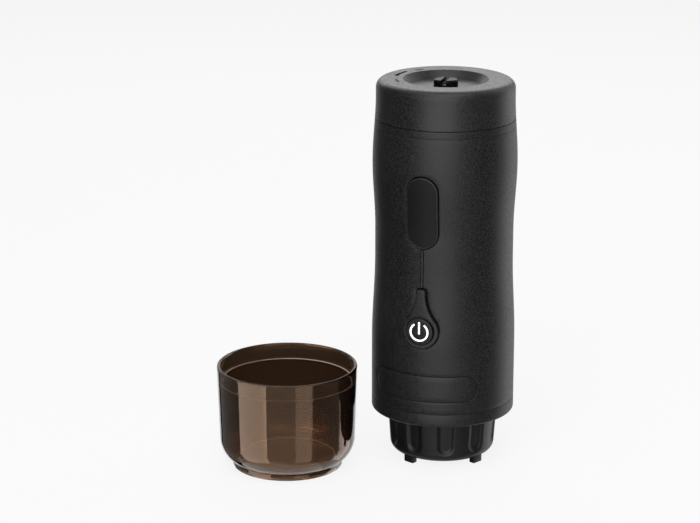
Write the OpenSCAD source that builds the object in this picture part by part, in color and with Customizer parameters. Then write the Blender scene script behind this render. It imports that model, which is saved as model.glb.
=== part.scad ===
// Portable coffee machine: a waisted body with a water tank, battery, heater and pump inside,
// a screw-on tank lid, a screw-on brew cap that it stands on, and its loose cup.
// Millimetres. +Z is up, the front with the button faces -Y, and the table is z = 0.
// The origin is on the table, under the middle of the footprint of machine and cup together.

/* [Body] */
// Outside radius of the lower body
body_r = 36; // [35.6:0.1:38]
// Outside radius at the waist
waist_r = 34.5; // [34.3:0.1:35.4]
// Outside radius at the shoulder
shoulder_r = 35.95; // [35.5:0.05:37.5]
// Outside radius near the top of the lid
crown_r = 34.4; // [34.2:0.1:35.5]
// Radius of the bore inside the shell
shell_bore_r = 33; // [32.8:0.1:33.4]
// Height of the shell
shell_h = 139.5; // [138:0.5:155]
// Height of the straight foot of the shell
straight_h = 30; // [20:1:36]
// Height over the shell's foot where the waist begins
waist_low = 73; // [66:1:78]
// Height over the shell's foot where the waist ends
waist_high = 87.5; // [84:0.5:92]
// Height over the shell's foot of the shoulder's widest ring
shoulder_at = 121; // [115:1:128]
// Height of the base cover's outer wall
base_h = 6.7; // [6.2:0.1:9]
// Rounding of the base cover's lower edge
base_edge_r = 1.4; // [0.8:0.1:2]
// Thickness of the base cover's floor
base_floor = 3; // [2.6:0.1:4]
// Height of the collar ring over the shell
collar_h = 3.4; // [2.6:0.1:5]
// Visible joint line between the rings of the body
seam = 0.2; // [0.1:0.05:0.4]

/* [Tank lid] */
// Height of the lid
lid_h = 19; // [18:0.25:24]
// Joint line under the lid
lid_gap = 0.3; // [0.2:0.05:0.6]
// Rounding of the lid's upper edge
lid_corner_r = 4.2; // [3:0.1:5.5]
// Radius of the dish in the lid, at its edge
dish_r = 20.8; // [18:0.2:24]
// Radius of the dish's floor
dish_floor_r = 17; // [13:0.2:17.5]
// Depth of the dish
dish_depth = 4; // [3.4:0.1:4.6]
// Thickness of the lid under the dish
lid_plate = 2.1; // [1.8:0.1:3]
// Radius of the vent cap in the dish
vent_r = 6; // [5:0.1:8]
// How far the vent cap's top stays below the lid's top
vent_drop = 0.3; // [0.2:0.1:1]
// Height of the vent cap's dome
vent_dome_h = 1.3; // [1:0.1:2.4]
// Width of the vent cap's slot
vent_slot_w = 2.8; // [1.6:0.1:3]
// Depth of the vent cap's slot
vent_slot_d = 2.6; // [1.5:0.1:3]
// Turn of the vent cap's slot from front to back
vent_slot_turn = 20; // [0:5:90]
// Radius of the vent cap's stem through the lid
vent_stem_r = 2.4; // [2:0.1:3]

/* [Screw joints] */
// Travel of the lid and of the brew cap in one turn
screw_lead = 4; // [3:0.5:6]
// Height of a thread's ridge
thread_depth = 0.9; // [0.6:0.05:1]
// Play between a ridge's crest and the wall that faces it
thread_gap = 0.4; // [0.35:0.05:0.5]

/* [Water tank] */
// Mean radius of the thread on the tank's neck
tank_neck_r = 30.9; // [30.6:0.1:31.1]
// Inside radius of the tank
tank_in_r = 28.4; // [26:0.1:28.8]
// Depth of the tank
tank_depth = 40; // [34:0.5:41]
// Thickness of the tank's floor
tank_floor = 2; // [1.6:0.1:3]
// Thickness of the flange that holds the tank down
tank_flange_h = 2; // [1.5:0.1:3]
// How far the tank's flange lies below the shell's top edge
tank_flange_drop = 5.6; // [5:0.1:8]
// Thickness of the lid's gasket
gasket_h = 2; // [1.5:0.1:2.6]
// Thickness of the heater plate
heater_h = 2.4; // [2:0.1:3]
// Radius of the heater plate
heater_r = 23; // [20:0.5:23.5]

/* [Brew end] */
// Height of the feet
foot_h = 2.5; // [2:0.1:4]
// Width of a foot
foot_w = 6; // [4:0.2:8]
// Inner radius of the feet
foot_in_r = 21.6; // [17:0.2:22]
// Outer radius of the feet
foot_out_r = 24.9; // [22.4:0.1:25.4]
// Angle of the first foot
foot_angle = 65.3; // [0:0.1:90]
// Height of the brew cap over its feet
cap_h = 22; // [21:0.25:28]
// Outside radius of the brew cap at its top
cap_r = 27.6; // [26.8:0.1:28]
// Outside radius of the brew cap where its lower rounding begins
cap_low_r = 26.4; // [25:0.1:27]
// Rounding of the brew cap's lower edge
cap_edge_r = 4.6; // [3:0.1:5]
// Number of grip grooves round the brew cap
flutes = 10; // [6:1:12]
// Angle of the first grip groove
flute_angle = -68; // [-90:0.5:0]
// Radius of a grip groove
flute_r = 9; // [3:0.1:12]
// Depth of a grip groove
flute_depth = 1.7; // [0.6:0.1:1.8]
// Thickness of the brew cap's floor
cap_floor = 2.5; // [2:0.1:3]
// Radius of the coffee outlet
outlet_r = 3.2; // [2.4:0.1:5]
// Joint line over the brew cap
cap_gap = 0.5; // [0.4:0.1:1]
// Mean radius of the thread on the group's neck
group_neck_r = 22.9; // [22.7:0.1:23.1]
// Radius of the group's cavity that takes the basket
group_in_r = 20.7; // [20.5:0.1:20.8]
// Length of the group's neck below the base
neck_len = 11.5; // [9:0.1:12.5]
// Thickness of the group's flange
group_flange_h = 2.5; // [2:0.1:3]
// Thickness of the group's top plate
group_plate = 2.5; // [2:0.1:3.5]
// Thickness of the shower plate
shower_h = 1.5; // [1:0.1:2]
// Water gap over the shower plate
shower_gap = 0.8; // [0.6:0.1:1.2]
// Thickness of the group seal
seal_h = 2.4; // [2:0.1:3]
// Outside radius of the coffee basket
basket_r = 19.8; // [19:0.1:19.9]
// Wall of the coffee basket
basket_wall = 0.8; // [0.6:0.1:1.2]

/* [Cup] */
// Height of the cup
cup_h = 52.1; // [46:0.1:60]
// Outside radius of the cup's rim
cup_rim_r = 35.2; // [34.6:0.1:36]
// Outside radius where the cup's lower rounding begins
cup_low_r = 34; // [33:0.1:34.4]
// Rounding of the cup's lower edge
cup_corner_r = 14; // [10:0.5:16]
// Rounding inside, between wall and floor
cup_in_corner_r = 7.5; // [5:0.5:12]
// Radius of the cup's foot ring
cup_foot_r = 27.8; // [24:0.2:28]
// Wall of the cup at its rim
cup_wall = 1.7; // [1.4:0.1:2.2]
// Depth of the wider ring inside the rim
cup_step_depth = 7.7; // [5:0.1:10]
// Width of the ledge under that ring
cup_step_w = 0.8; // [0.6:0.1:1.4]
// Thickness of the cup's floor
cup_floor = 3.1; // [2.4:0.1:4]
// Place of the cup's axis beside the machine's, along X
cup_dx = -68; // [-90:0.5:-66]
// Place of the cup's axis before the machine's, along Y
cup_dy = -42.7; // [-60:0.5:-38]

/* [Front] */
// Width of the display window
window_w = 16.8; // [12:0.2:19]
// Height of the display window
window_h = 37; // [28:0.5:38]
// Height of the window's middle over the shell's foot
window_at = 102.6; // [100:0.1:106]
// How far the window stands proud
window_proud = 1.2; // [0.1:0.05:1.4]
// Play round the window and the bezel
front_gap = 0.25; // [0.15:0.05:0.35]
// Width of the retaining lip behind window and bezel
lip_w = 1.8; // [1.2:0.1:2.4]
// Thickness of that lip
lip_t = 1.2; // [0.8:0.1:1.5]
// Width of the raised line from window to bezel
line_w = 2; // [1:0.1:2.6]
// How far that line stands proud
line_d = 0.5; // [0.3:0.05:0.7]
// Height of the button's middle over the shell's foot
button_at = 43.1; // [40:0.1:50]
// Radius of the bezel round the button
bezel_r = 9.4; // [9:0.1:11]
// Height of the bezel's point over the button's middle
bezel_tip = 21.5; // [19:0.1:23]
// Half the width of the bezel's point
bezel_tip_w = 2.8; // [2:0.1:3.2]
// Rounding of the bezel's point
bezel_tip_r = 2; // [1:0.1:2.2]
// Radius of the hollow curves from circle to point
bezel_blend_r = 22; // [12:0.5:23]
// How far the bezel stands proud
bezel_proud = 2.2; // [0.6:0.1:2.6]
// Radius of the power button
button_r = 6.9; // [6.2:0.1:7.2]
// How far the button stands proud of the bezel
button_proud = 0.35; // [0.2:0.05:0.8]
// Play round the button
button_gap = 0.25; // [0.2:0.05:0.3]
// Travel of the button
button_travel = 0.7; // [0.4:0.05:0.8]
// Outside radius of the power mark
icon_r = 4.8; // [4:0.1:5.8]
// Line width of the power mark
icon_w = 0.8; // [0.6:0.05:1.6]
// Half the opening of the power mark's ring
icon_open = 34; // [26:1:45]
// How deep the power mark is let into the button
icon_h = 0.5; // [0.4:0.05:0.8]
// Height of the name plate
plate_h = 13.5; // [8:0.25:16]
// Half the angle that the name plate covers
plate_angle = 46.5; // [30:0.5:55]
// Height of the name plate's middle over the shell's foot
plate_at = 13; // [12:0.25:18]
// Thickness of the name plate
plate_t = 0.8; // [0.5:0.05:1]
// Joint line round the name plate
plate_gap = 0.2; // [0.15:0.05:0.4]

/* [Power] */
// Radius of a battery cell
cell_r = 9.2; // [8.8:0.1:9.4]
// Length of a battery cell
cell_h = 65; // [60:0.5:68]
// Wall of the cell holders
holder_wall = 0.8; // [0.6:0.1:1]
// How deep a cell sits in each holder
holder_depth = 5.5; // [4:0.25:7]
// Thickness of a holder's end plate
holder_plate = 3.5; // [3:0.25:5]
// Width of the control board
board_w = 28; // [24:0.5:30]
// Thickness of the control board
board_t = 1.6; // [1:0.1:2]
// Distance of the board's front face from the axis
board_y = 26; // [25.5:0.1:26.4]
// Height of the tactile switch on the board
switch_h = 2.2; // [1.6:0.1:2.4]
// Width of the charging socket
socket_w = 9; // [8.4:0.1:10]
// Height of the charging socket
socket_h = 3.3; // [2.8:0.1:3.6]
// Width of the socket's flap
flap_w = 13; // [12:0.25:14]
// Height of the socket's flap
flap_h = 8.5; // [7.5:0.25:10]

/* [Pump] */
// Distance of the pump and water line from the axis, towards the front
flow_y = 7; // [6.5:0.1:7.5]
// Inside radius of the pump's tube
pump_bore_r = 4.7; // [4.4:0.1:5]
// Wall of the pump's tube
pump_tube_wall = 0.9; // [0.7:0.1:1.1]
// Length of the pump's tube
pump_tube_h = 44; // [42:0.5:48]
// Length of the pump's armature
armature_h = 22; // [18:0.5:24]
// Play round the armature
armature_gap = 0.2; // [0.15:0.05:0.3]
// Radius of the pump's piston
piston_r = 1.4; // [1.1:0.1:1.5]
// Radius of the pump's coil
coil_r = 12.5; // [11:0.25:12.8]
// Length of the pump's coil
coil_h = 32; // [26:0.5:33]
// Thickness of the pump's yoke
yoke_t = 2; // [1.5:0.1:2.2]
// Width of the pump's yoke, front to back
yoke_d = 22; // [16:0.5:23]
// Outside radius of the hose spigots
spigot_r = 3.2; // [2.8:0.1:3.4]
// Bore of the hose spigots
spigot_bore_r = 1.6; // [1.2:0.1:2]
// Wall of the hoses
hose_wall = 1.5; // [1:0.1:1.6]

/* [Frame] */
// Thickness of the two decks
deck_h = 2.5; // [2:0.1:3]
// Space between the group and the lower deck
deck_space = 11; // [10.5:0.25:13]
// Radius of the frame's posts
post_r = 2.4; // [2:0.1:2.6]
// Radius of a screw's shank
screw_r = 1; // [0.8:0.05:1.1]
// Radius of a screw's head
screw_head_r = 1.9; // [1.7:0.1:2.1]
// Height of a screw's head
screw_head_h = 1.3; // [1:0.1:1.5]

/* [Hidden] */
$fn = 96;
// Play between pieces that rest on each other
rest_gap = 0.1;
// Play of a piece that slides into the shell or over a spigot
slip = 0.3;
// Least room between neighbours inside the body
room = 0.4;
// Play between a hose or shank and what it is pushed on
push_gap = 0.05;
// Overlap that keeps cuts clean
cut = 1;
// Step of the body's outline
outline_step = 5;
// Sides of the body's round outlines
body_sides = 360;
// Steps in a turn of a thread, and the width of its ridge at root and crest in shares of the lead
thread_steps = 36;
thread_root_share = 0.45;
thread_crest_share = 0.2;
thread_half = thread_root_share * screw_lead / 2;
// How deep a ridge is let into the wall that carries it
thread_bite = 0.4;

// Heights, from the table up
cap_top = foot_h + cap_h;
base_z = cap_top + cap_gap;
base_top = base_z + base_h;
shell_z = base_top + seam;
shell_top = shell_z + shell_h;
collar_z = shell_top + seam;
collar_top = collar_z + collar_h;
lid_z = collar_top + lid_gap;
lid_top = lid_z + lid_h;
dish_z = lid_top - dish_depth;
dish_edge = 0.5;
dish_fillet_r = 1.2;
lid_under = dish_z - lid_plate;
gasket_z = lid_under - rest_gap - gasket_h;
valve_h = 1.2;
valve_z = lid_under - push_gap - valve_h;
barb_h = 0.9;
barb_z = valve_z - push_gap - barb_h;
vent_hole_r = 1;
tank_rim = gasket_z - rest_gap;
tank_floor_z = tank_rim - tank_depth;
tank_z = tank_floor_z - tank_floor;
heater_z = tank_z - heater_h;
upper_deck_z = heater_z - deck_h;
tank_flange_z = shell_top - tank_flange_drop - tank_flange_h;
group_flange_z = base_z + base_floor;
group_cavity_top = group_flange_z + group_flange_h;
group_top = group_cavity_top + group_plate;
lower_deck_z = group_top + deck_space;
lower_deck_top = lower_deck_z + deck_h;
shower_z = group_cavity_top - shower_gap - shower_h;
seal_z = shower_z - seal_h;
neck_end = base_z - neck_len;
cap_floor_z = foot_h + cap_floor;
basket_z = cap_floor_z + rest_gap;
basket_top = seal_z - slip;
drain_d = 1;
drain_rim = 3;
window_z = shell_z + window_at;
button_z = shell_z + button_at;
plate_z = shell_z + plate_at;

// Place of the machine's axis, which centres the footprint on the origin
widest_r = max(body_r, shoulder_r);
machine_x = (cup_rim_r - cup_dx - widest_r) / 2;
machine_y = (cup_rim_r - cup_dy - widest_r) / 2;

// The body's outline
function ease(t) = (1 - cos(180 * max(0, min(1, t)))) / 2;
function between(a, b, t) = a + (b - a) * ease(t);
crown_drop = 3;
crown_z = lid_top - lid_corner_r - crown_drop;
function body_radius(z) =
    z < shell_z + waist_low
        ? between(body_r, waist_r, (z - shell_z - straight_h) / (waist_low - straight_h))
        : z < shell_z + shoulder_at
            ? between(waist_r, shoulder_r, (z - shell_z - waist_high) / (shoulder_at - waist_high))
            : between(shoulder_r, crown_r, (z - shell_z - shoulder_at) / (crown_z - shell_z - shoulder_at));
function steps(z0, z1) = [for (i = [0 : ceil((z1 - z0) / outline_step)])
    z0 + (z1 - z0) * i / ceil((z1 - z0) / outline_step)];
function body_outline(z0, z1, grow) = [for (z = steps(z0, z1)) [body_radius(z) + grow, z]];

// Points along an arc, by its centre, radius and end angles
function arc(c, r, a0, a1, n) = [for (i = [0 : n])
    let (a = a0 + (a1 - a0) * i / n)
    c + r * [cos(a), sin(a)]];

// Radii inside the body
spigot_wall = 1.5;
base_spigot_r = shell_bore_r - slip;
base_spigot_in = base_spigot_r - spigot_wall;
base_spigot_h = 9;
deck_r = shell_bore_r - room;
tank_root_r = tank_neck_r - thread_depth / 2;
tank_bore_r = tank_neck_r + thread_depth / 2 + thread_gap;
collar_in_r = tank_neck_r + thread_depth / 2 + room;
collar_spigot_r = shell_bore_r - slip;
tank_wall = 1.75;
tank_body_r = tank_in_r + tank_wall;
mouth_wall = 2;
tank_mouth_r = min(tank_in_r, tank_root_r - mouth_wall);
tank_flange_r = shell_bore_r - slip;
group_root_r = group_neck_r - thread_depth / 2;
group_bore_r = group_neck_r + thread_depth / 2 + thread_gap;
group_plain_r = group_neck_r + thread_depth / 2 + rest_gap;
group_flange_r = base_spigot_in - slip;
window_in_r = shell_bore_r - slip;
lip_in_r = window_in_r - lip_t;

// Screws through the base into the lower deck's bosses
boss_r = 2.4;
boss_ring_r = base_spigot_in - boss_r - slip;
base_screw_head_r = 2.3;
base_screw_head_h = 1.4;
base_screw_len = 15;
base_screw_angles = [30, 150, 270];

// Battery cells, round the back
holder_r = cell_r + holder_wall;
cell_ring_r = shell_bore_r - holder_r - room;
cell_step = 2 * asin((cell_r + room) / cell_ring_r);
cell_play = 0.2;
cell_pole_r = 2.8;
cell_pole_h = 0.6;
cell_angles = [90 - cell_step, 90, 90 + cell_step];
contact_h = 0.5;
cell_z = lower_deck_top + holder_plate + contact_h + rest_gap;
cell_top = cell_z + cell_h;
upper_holder_top = cell_top + rest_gap + contact_h + holder_plate;

// Posts between the decks: two at the sides and two between the cells
post_room = 1;
side_post_depth = 6;
back_post_ring = shell_bore_r - post_r - post_room;
side_post_ring = shell_bore_r - side_post_depth;
side_post_angle = 20;
posts = [[side_post_ring, -side_post_angle], [side_post_ring, 180 + side_post_angle],
    [back_post_ring, 90 - cell_step / 2], [back_post_ring, 90 + cell_step / 2]];
post_screw_len = 8;
post_drill_spare = 0.5;

// The water line and the pump, from the group up to the tank
hose_r = spigot_r + push_gap + hose_wall;
hose_hole_r = hose_r + room;
mount_h = 3.5;
outlet_z = lower_deck_top + mount_h;
outlet_body_h = 10;
outlet_body_r = 8.5;
tube_z = outlet_z + outlet_body_h;
tube_top = tube_z + pump_tube_h;
tube_r = pump_bore_r + pump_tube_wall;
inlet_flange_h = 3;
inlet_barb_h = 12;
group_barb_h = 9;
tank_barb_h = 14;
outlet_barb_h = 6;
armature_share = 0.62;
armature_z = tube_z + (pump_tube_h - armature_h) * armature_share;
piston_share = 0.7;
piston_len = armature_z - tube_z + outlet_body_h * piston_share;
piston_gap = 0.15;
coil_z = tube_z + (pump_tube_h - coil_h) / 2;
coil_flange_h = 1.5;
winding_drop = 1;
yoke_in_w = 2 * (coil_r + rest_gap + room);
spring_coil_r = (pump_bore_r + piston_r) / 2;
spring_wire_r = 0.4;
spring_end_gap = 0.15;

// The button, from its face back to the switch
button_face = body_radius(button_z) + bezel_proud + button_proud;
button_flange_w = 1.2;
button_flange_r = button_r + button_flange_w;
button_flange_t = 0.8;
button_flange_y = sqrt(pow(lip_in_r, 2) - pow(button_flange_r, 2)) - rest_gap;
button_stem_r = 4;
button_cap_h = 3.6;
plunger_r = 1.6;
plunger_gap = 0.15;
switch_w = 6.2;
switch_floor = 0.2;
plunger_rest = 0.3;
plunger_end = board_y + button_travel + plunger_rest;
// Lower and upper end of the power mark's bar, in shares of the mark's radius
icon_bar = [-0.22, 1.04];

// The charging socket and its flap at the back
port_z = (upper_holder_top + upper_deck_z) / 2;
port_board_t = 1.2;
port_board_w = 18;
flap_seat_wall = 0.45;
flap_play = 0.2;
flap_seat_y = shell_bore_r + flap_seat_wall;
flap_in_y = flap_seat_y + flap_play;
flap_bead_r = 0.5;
flap_axis_y = flap_seat_y + rest_gap + flap_bead_r;
flap_axis_z = port_z - flap_h / 2;
flap_drop = 0.95;
flap_bead_w = 8;

// Places shared by several pieces
module on_machine() { translate([machine_x, machine_y, 0]) children(); }
module at_polar(ring, angle, z) {
    translate([ring * cos(angle), ring * sin(angle), z]) children();
}
module on_flow(z) { translate([0, -flow_y, z]) children(); }
module facing_front(z) { translate([0, 0, z]) rotate([90, 0, 0]) children(); }

// A disc, rod or ring between two heights
module rod(r, z0, z1) { translate([0, 0, z0]) cylinder(r = r, h = z1 - z0); }
module ring(r_out, r_in, z0, z1) {
    difference() {
        rod(r_out, z0, z1);
        rod(r_in, z0 - cut, z1 + cut);
    }
}

// A block between two corners
module block(low, high) { translate(low) cube(high - low); }

// The body's solid between two heights, grown or shrunk all round
module body_solid(z0, z1, grow) {
    rotate_extrude($fn = body_sides)
        polygon(concat([[0, z0]], body_outline(z0, z1, grow), [[0, z1]]));
}

// Faces of a tube of many-sided rings that are closed at both ends
function tube_faces(rings, sides) = concat(
    [for (i = [0 : rings - 2]) for (k = [0 : sides - 1])
        let (a = i * sides + k, b = i * sides + (k + 1) % sides)
        each [[a, b + sides, b], [a, a + sides, b + sides]]],
    [for (k = [1 : sides - 2])
        let (last = (rings - 1) * sides)
        each [[0, k, k + 1], [last, last + k + 1, last + k]]]);

// A thread's ridge between two heights, on a neck (side 1) or in a bore (side -1)
// Its angle follows from its height, and the two sides of a screw joint lie half a turn apart
module thread_ridge(wall_r, side, z0, z1) {
    steps = ceil(thread_steps * (z1 - z0) / screw_lead);
    root = thread_root_share * screw_lead / 2;
    crest = thread_crest_share * screw_lead / 2;
    section = [[wall_r - side * thread_bite, -side * root], [wall_r - side * thread_bite, side * root],
        [wall_r + side * thread_depth, side * crest], [wall_r + side * thread_depth, -side * crest]];
    points = [for (i = [0 : steps]) for (p = section)
        let (z = z0 + (z1 - z0) * i / steps, a = 360 * z / screw_lead + 90 * side)
        [p[0] * cos(a), p[0] * sin(a), z + p[1]]];
    polyhedron(points = points, faces = tube_faces(steps + 1, len(section)));
}

// An upright pill outline
module pill(w, h) {
    square([w, h - w], center = true);
    translate([0, (h - w) / 2]) circle(d = w);
    translate([0, (w - h) / 2]) circle(d = w);
}

// A prism that leaves the body at the front
module front_prism(z) {
    facing_front(z) translate([0, 0, shell_bore_r / 2]) linear_extrude(height = shell_bore_r) children();
}

// Half of the bezel's outline, from its lowest point to its tip, grown all round
function bezel_half(grow) =
    let (r = bezel_r + grow,
        w = bezel_tip_w + grow,
        b = bezel_blend_r - grow,
        t = bezel_tip_r + grow,
        blend = [w + b, sqrt(pow(r + b, 2) - pow(w + b, 2))],
        a = atan2(blend[1], blend[0]))
    concat(
        arc([0, 0], r, -90, a, 20),
        arc(blend, b, 180 + a, 180, 8),
        arc([w - t, bezel_tip + grow - t], t, 0, 90, 5));
module bezel_outline(grow) {
    half = bezel_half(grow);
    last = len(half) - 1;
    polygon(concat(half, [for (i = [last : -1 : 1]) [-half[i][0], half[i][1]]]));
}

// The name plate as a prism that leaves the body at the front: a pill laid round the body, seen from there
plate_steps = 12;
function body_degrees(length) = length / body_r * 180 / PI;
function plate_end(h, t) =
    let (angle = plate_angle - body_degrees(plate_h / 2) + body_degrees(h / 2) * cos(t))
    [body_r * sin(angle), h / 2 * sin(t)];
module plate_solid(h) {
    half = [for (i = [0 : plate_steps]) plate_end(h, 180 * i / plate_steps - 90)];
    other_half = [for (i = [plate_steps : -1 : 0]) [-half[i][0], half[i][1]]];
    front_prism(plate_z) polygon(concat(half, other_half));
}

// A tube of six sides along a list of points; away is a direction that no stretch runs along
function unit(v) = v / norm(v);
function tangent(path, i) = unit(path[min(i + 1, len(path) - 1)] - path[max(i - 1, 0)]);
module swept_tube(path, r, away) {
    sides = 6;
    n = len(path);
    points = [for (i = [0 : n - 1]) for (k = [0 : sides - 1])
        let (t = tangent(path, i), u = unit(cross(t, away)), v = cross(t, u))
        path[i] + r * (cos(360 * k / sides) * u + sin(360 * k / sides) * v)];
    polyhedron(points = points, faces = tube_faces(n, sides));
}

// A coil spring between two heights, on the water line
module spring(z0, z1, turns) {
    rings = 8 * turns;
    low = z0 + spring_wire_r + spring_end_gap;
    high = z1 - spring_wire_r - spring_end_gap;
    on_flow(0) swept_tube([for (i = [0 : rings])
        [spring_coil_r * cos(45 * i), spring_coil_r * sin(45 * i), low + (high - low) * i / rings]],
        spring_wire_r, [0, 0, 1]);
}

// A cheese-head screw whose head rests on z and whose shank runs down from it
module screw_down(z, head_r, head_h, shank_r, length) {
    rod(head_r, z, z + head_h);
    rod(shank_r, z - length, z);
}

// Tank lid: rounded cap with a dish, an inner thread and a vent hole
module tank_lid() {
    color("#2b2b2d") on_machine() union() {
        difference() {
            rotate_extrude() polygon(concat(
                [[0, lid_z]],
                body_outline(lid_z, lid_top - lid_corner_r, 0),
                arc([crown_r - lid_corner_r, lid_top - lid_corner_r], lid_corner_r, 10, 90, 8),
                [[dish_r + dish_edge, lid_top], [dish_r, lid_top - dish_edge]],
                arc([dish_floor_r, dish_z + dish_fillet_r], dish_fillet_r, -45, -90, 4),
                [[0, dish_z]]));
            rod(tank_bore_r, lid_z - cut, lid_under);
            rod(vent_stem_r + push_gap, lid_under - cut, lid_top);
        }
        thread_ridge(tank_bore_r, -1, lid_z + thread_half + room, tank_rim - thread_half - room);
    }
}

// Vent cap: slotted black knob in the dish, with a barbed stem through the lid
module vent_cap() {
    vent_top = lid_top - vent_drop;
    color("#0c0c0d") on_machine() difference() {
        union() {
            rotate_extrude() polygon(concat(
                [[0, dish_z], [vent_r, dish_z]],
                [for (a = [0 : 10 : 90]) [vent_r * cos(a), vent_top - vent_dome_h * (1 - sin(a))]]));
            rod(vent_stem_r, barb_z, dish_z);
            rod(vent_stem_r + barb_h, barb_z, barb_z + barb_h);
        }
        rotate(vent_slot_turn) block([-vent_slot_w / 2, -vent_r - cut, vent_top - vent_slot_d],
            [vent_slot_w / 2, vent_r + cut, vent_top + cut]);
        rod(vent_hole_r, barb_z - cut, vent_top);
    }
}

// Vent valve: soft disc under the lid, held by the vent cap's barb
module vent_valve() {
    color("#8f8f8b") on_machine()
        ring(vent_r - barb_h, vent_stem_r + push_gap, valve_z, valve_z + valve_h);
}

// Gasket between lid and tank rim
module lid_gasket() {
    color("#c9c6bf") on_machine()
        ring(tank_root_r - rest_gap, tank_mouth_r - room, gasket_z, gasket_z + gasket_h);
}

// Collar ring: closes the top of the shell and holds the tank down
module collar_ring() {
    color("#29292b") on_machine() difference() {
        union() {
            body_solid(collar_z, collar_top, 0);
            rod(collar_spigot_r, tank_flange_z + tank_flange_h, collar_z);
        }
        rod(collar_in_r, tank_flange_z, collar_top + cut);
    }
}

// Water tank: open vessel with a threaded neck, a flange and an outlet spigot
module water_tank() {
    color("#b9bcc0") on_machine() difference() {
        union() {
            rod(tank_body_r, tank_z, tank_flange_z);
            rod(tank_flange_r, tank_flange_z, tank_flange_z + tank_flange_h);
            rod(tank_root_r, tank_flange_z + tank_flange_h, tank_rim);
            thread_ridge(tank_root_r, 1, lid_z + thread_half + room, tank_rim - thread_half - room);
            on_flow(0) rod(spigot_r, tank_z - tank_barb_h, tank_z);
        }
        rod(tank_in_r, tank_floor_z, tank_flange_z);
        rod(tank_mouth_r, tank_floor_z, tank_rim + cut);
        on_flow(0) rod(spigot_bore_r, tank_z - tank_barb_h - cut, tank_floor_z + cut);
    }
}

// Heater plate under the tank, with a hole for its spigot
module heater_plate() {
    color("#a8702f") on_machine() difference() {
        rod(heater_r, heater_z, tank_z);
        on_flow(0) rod(spigot_r + room, heater_z - cut, tank_z + cut);
    }
}

// Thermostat: button sensor that touches the heater through the upper deck
thermostat_r = 4.5;
thermostat_at = [14, 4];
thermostat_h = 2.5;
thermostat_tip_r = 3.3;
thermostat_tip_h = 1.5;
module thermostat() {
    foot_z = upper_deck_z - thermostat_h;
    color("#d0d0cc") on_machine() translate(thermostat_at) union() {
        rod(thermostat_r, foot_z, heater_z);
        rod(thermostat_tip_r, foot_z - thermostat_tip_h, foot_z);
    }
}

// Outer shell: waisted tube with the openings of the front and of the charging socket
module outer_shell() {
    color("#303032") on_machine() difference() {
        union() {
            body_solid(shell_z, shell_top, 0);
            intersection() {
                body_solid(shell_z, shell_top, line_d);
                block([-line_w / 2, -body_r - line_d, button_z + bezel_tip - cut],
                    [line_w / 2, 0, window_z - window_h / 2 + cut]);
            }
        }
        rod(shell_bore_r, shell_z - cut, shell_top + cut);
        front_prism(window_z) pill(window_w, window_h);
        front_prism(button_z) bezel_outline(0);
        intersection() {
            plate_solid(plate_h);
            ring(body_r + cut, body_r - plate_t, plate_z - plate_h, plate_z + plate_h);
        }
        flap_recess();
        translate([0, flap_seat_y + cut, port_z]) rotate([90, 0, 0])
            linear_extrude(height = socket_len) rotate([0, 0, 90]) pill(socket_h + room, socket_w + room);
    }
}

// Recess that the flap lies in
module flap_recess() {
    low = flap_axis_z - flap_drop;
    high = port_z + flap_h / 2 + front_gap;
    half = flap_w / 2 + front_gap;
    block([-half, flap_seat_y, low], [half, shoulder_r + cut, high]);
}

// Display window: glossy pill in the front, with a lip behind the shell
module display_window() {
    color("#17181b") on_machine() union() {
        intersection() {
            front_prism(window_z) pill(window_w - 2 * front_gap, window_h - 2 * front_gap);
            difference() {
                body_solid(shell_z, shell_top, window_proud);
                rod(window_in_r - lip_t / 2, shell_z - cut, shell_top + cut);
            }
        }
        intersection() {
            front_prism(window_z) pill(window_w + 2 * lip_w, window_h + 2 * lip_w);
            ring(window_in_r, lip_in_r, shell_z, shell_top);
        }
    }
}

// Space behind the shell that the window's lip needs
module window_space() {
    edge = 2 * (lip_w + room);
    intersection() {
        front_prism(window_z) pill(window_w + edge, window_h + edge);
        ring(shell_bore_r, lip_in_r - room, shell_z, shell_top);
    }
}

// Display module on the board, behind the window
module_side = 1.8;
module_end = 2;
module_room = 1;
module display_module() {
    half_w = window_w / 2 - module_side;
    low = window_z - window_h / 2 + module_end;
    high = min(window_z + window_h / 2 - module_end, upper_deck_z - module_room);
    front = sqrt(pow(lip_in_r, 2) - pow(half_w, 2)) - rest_gap;
    color("#3b3f46") on_machine() block([-half_w, -front, low], [half_w, -board_y, high]);
}

// Button bezel: raised drop shape with the button's bore, and a lip behind the shell
module button_bezel() {
    color("#2c2c2e") on_machine() difference() {
        union() {
            intersection() {
                front_prism(button_z) bezel_outline(-front_gap);
                difference() {
                    body_solid(shell_z, shell_top, bezel_proud);
                    rod(window_in_r - lip_t / 2, shell_z - cut, shell_top + cut);
                }
            }
            intersection() {
                front_prism(button_z) bezel_outline(lip_w - front_gap);
                ring(window_in_r, lip_in_r, shell_z, shell_top);
            }
        }
        facing_front(button_z) cylinder(r = button_r + button_gap, h = 2 * body_r);
    }
}

// Power button: cap, stem and a flange that keeps it behind the bezel
module power_button() {
    color("#232325") on_machine() difference() {
        facing_front(button_z) union() {
            rod(button_r, button_face - button_cap_h, button_face);
            rod(button_stem_r, button_flange_y, button_face - button_cap_h);
            rod(button_flange_r, button_flange_y - button_flange_t, button_flange_y);
        }
        facing_front(button_z) icon_shape(push_gap, button_face - icon_h, button_face + cut);
    }
}

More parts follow.
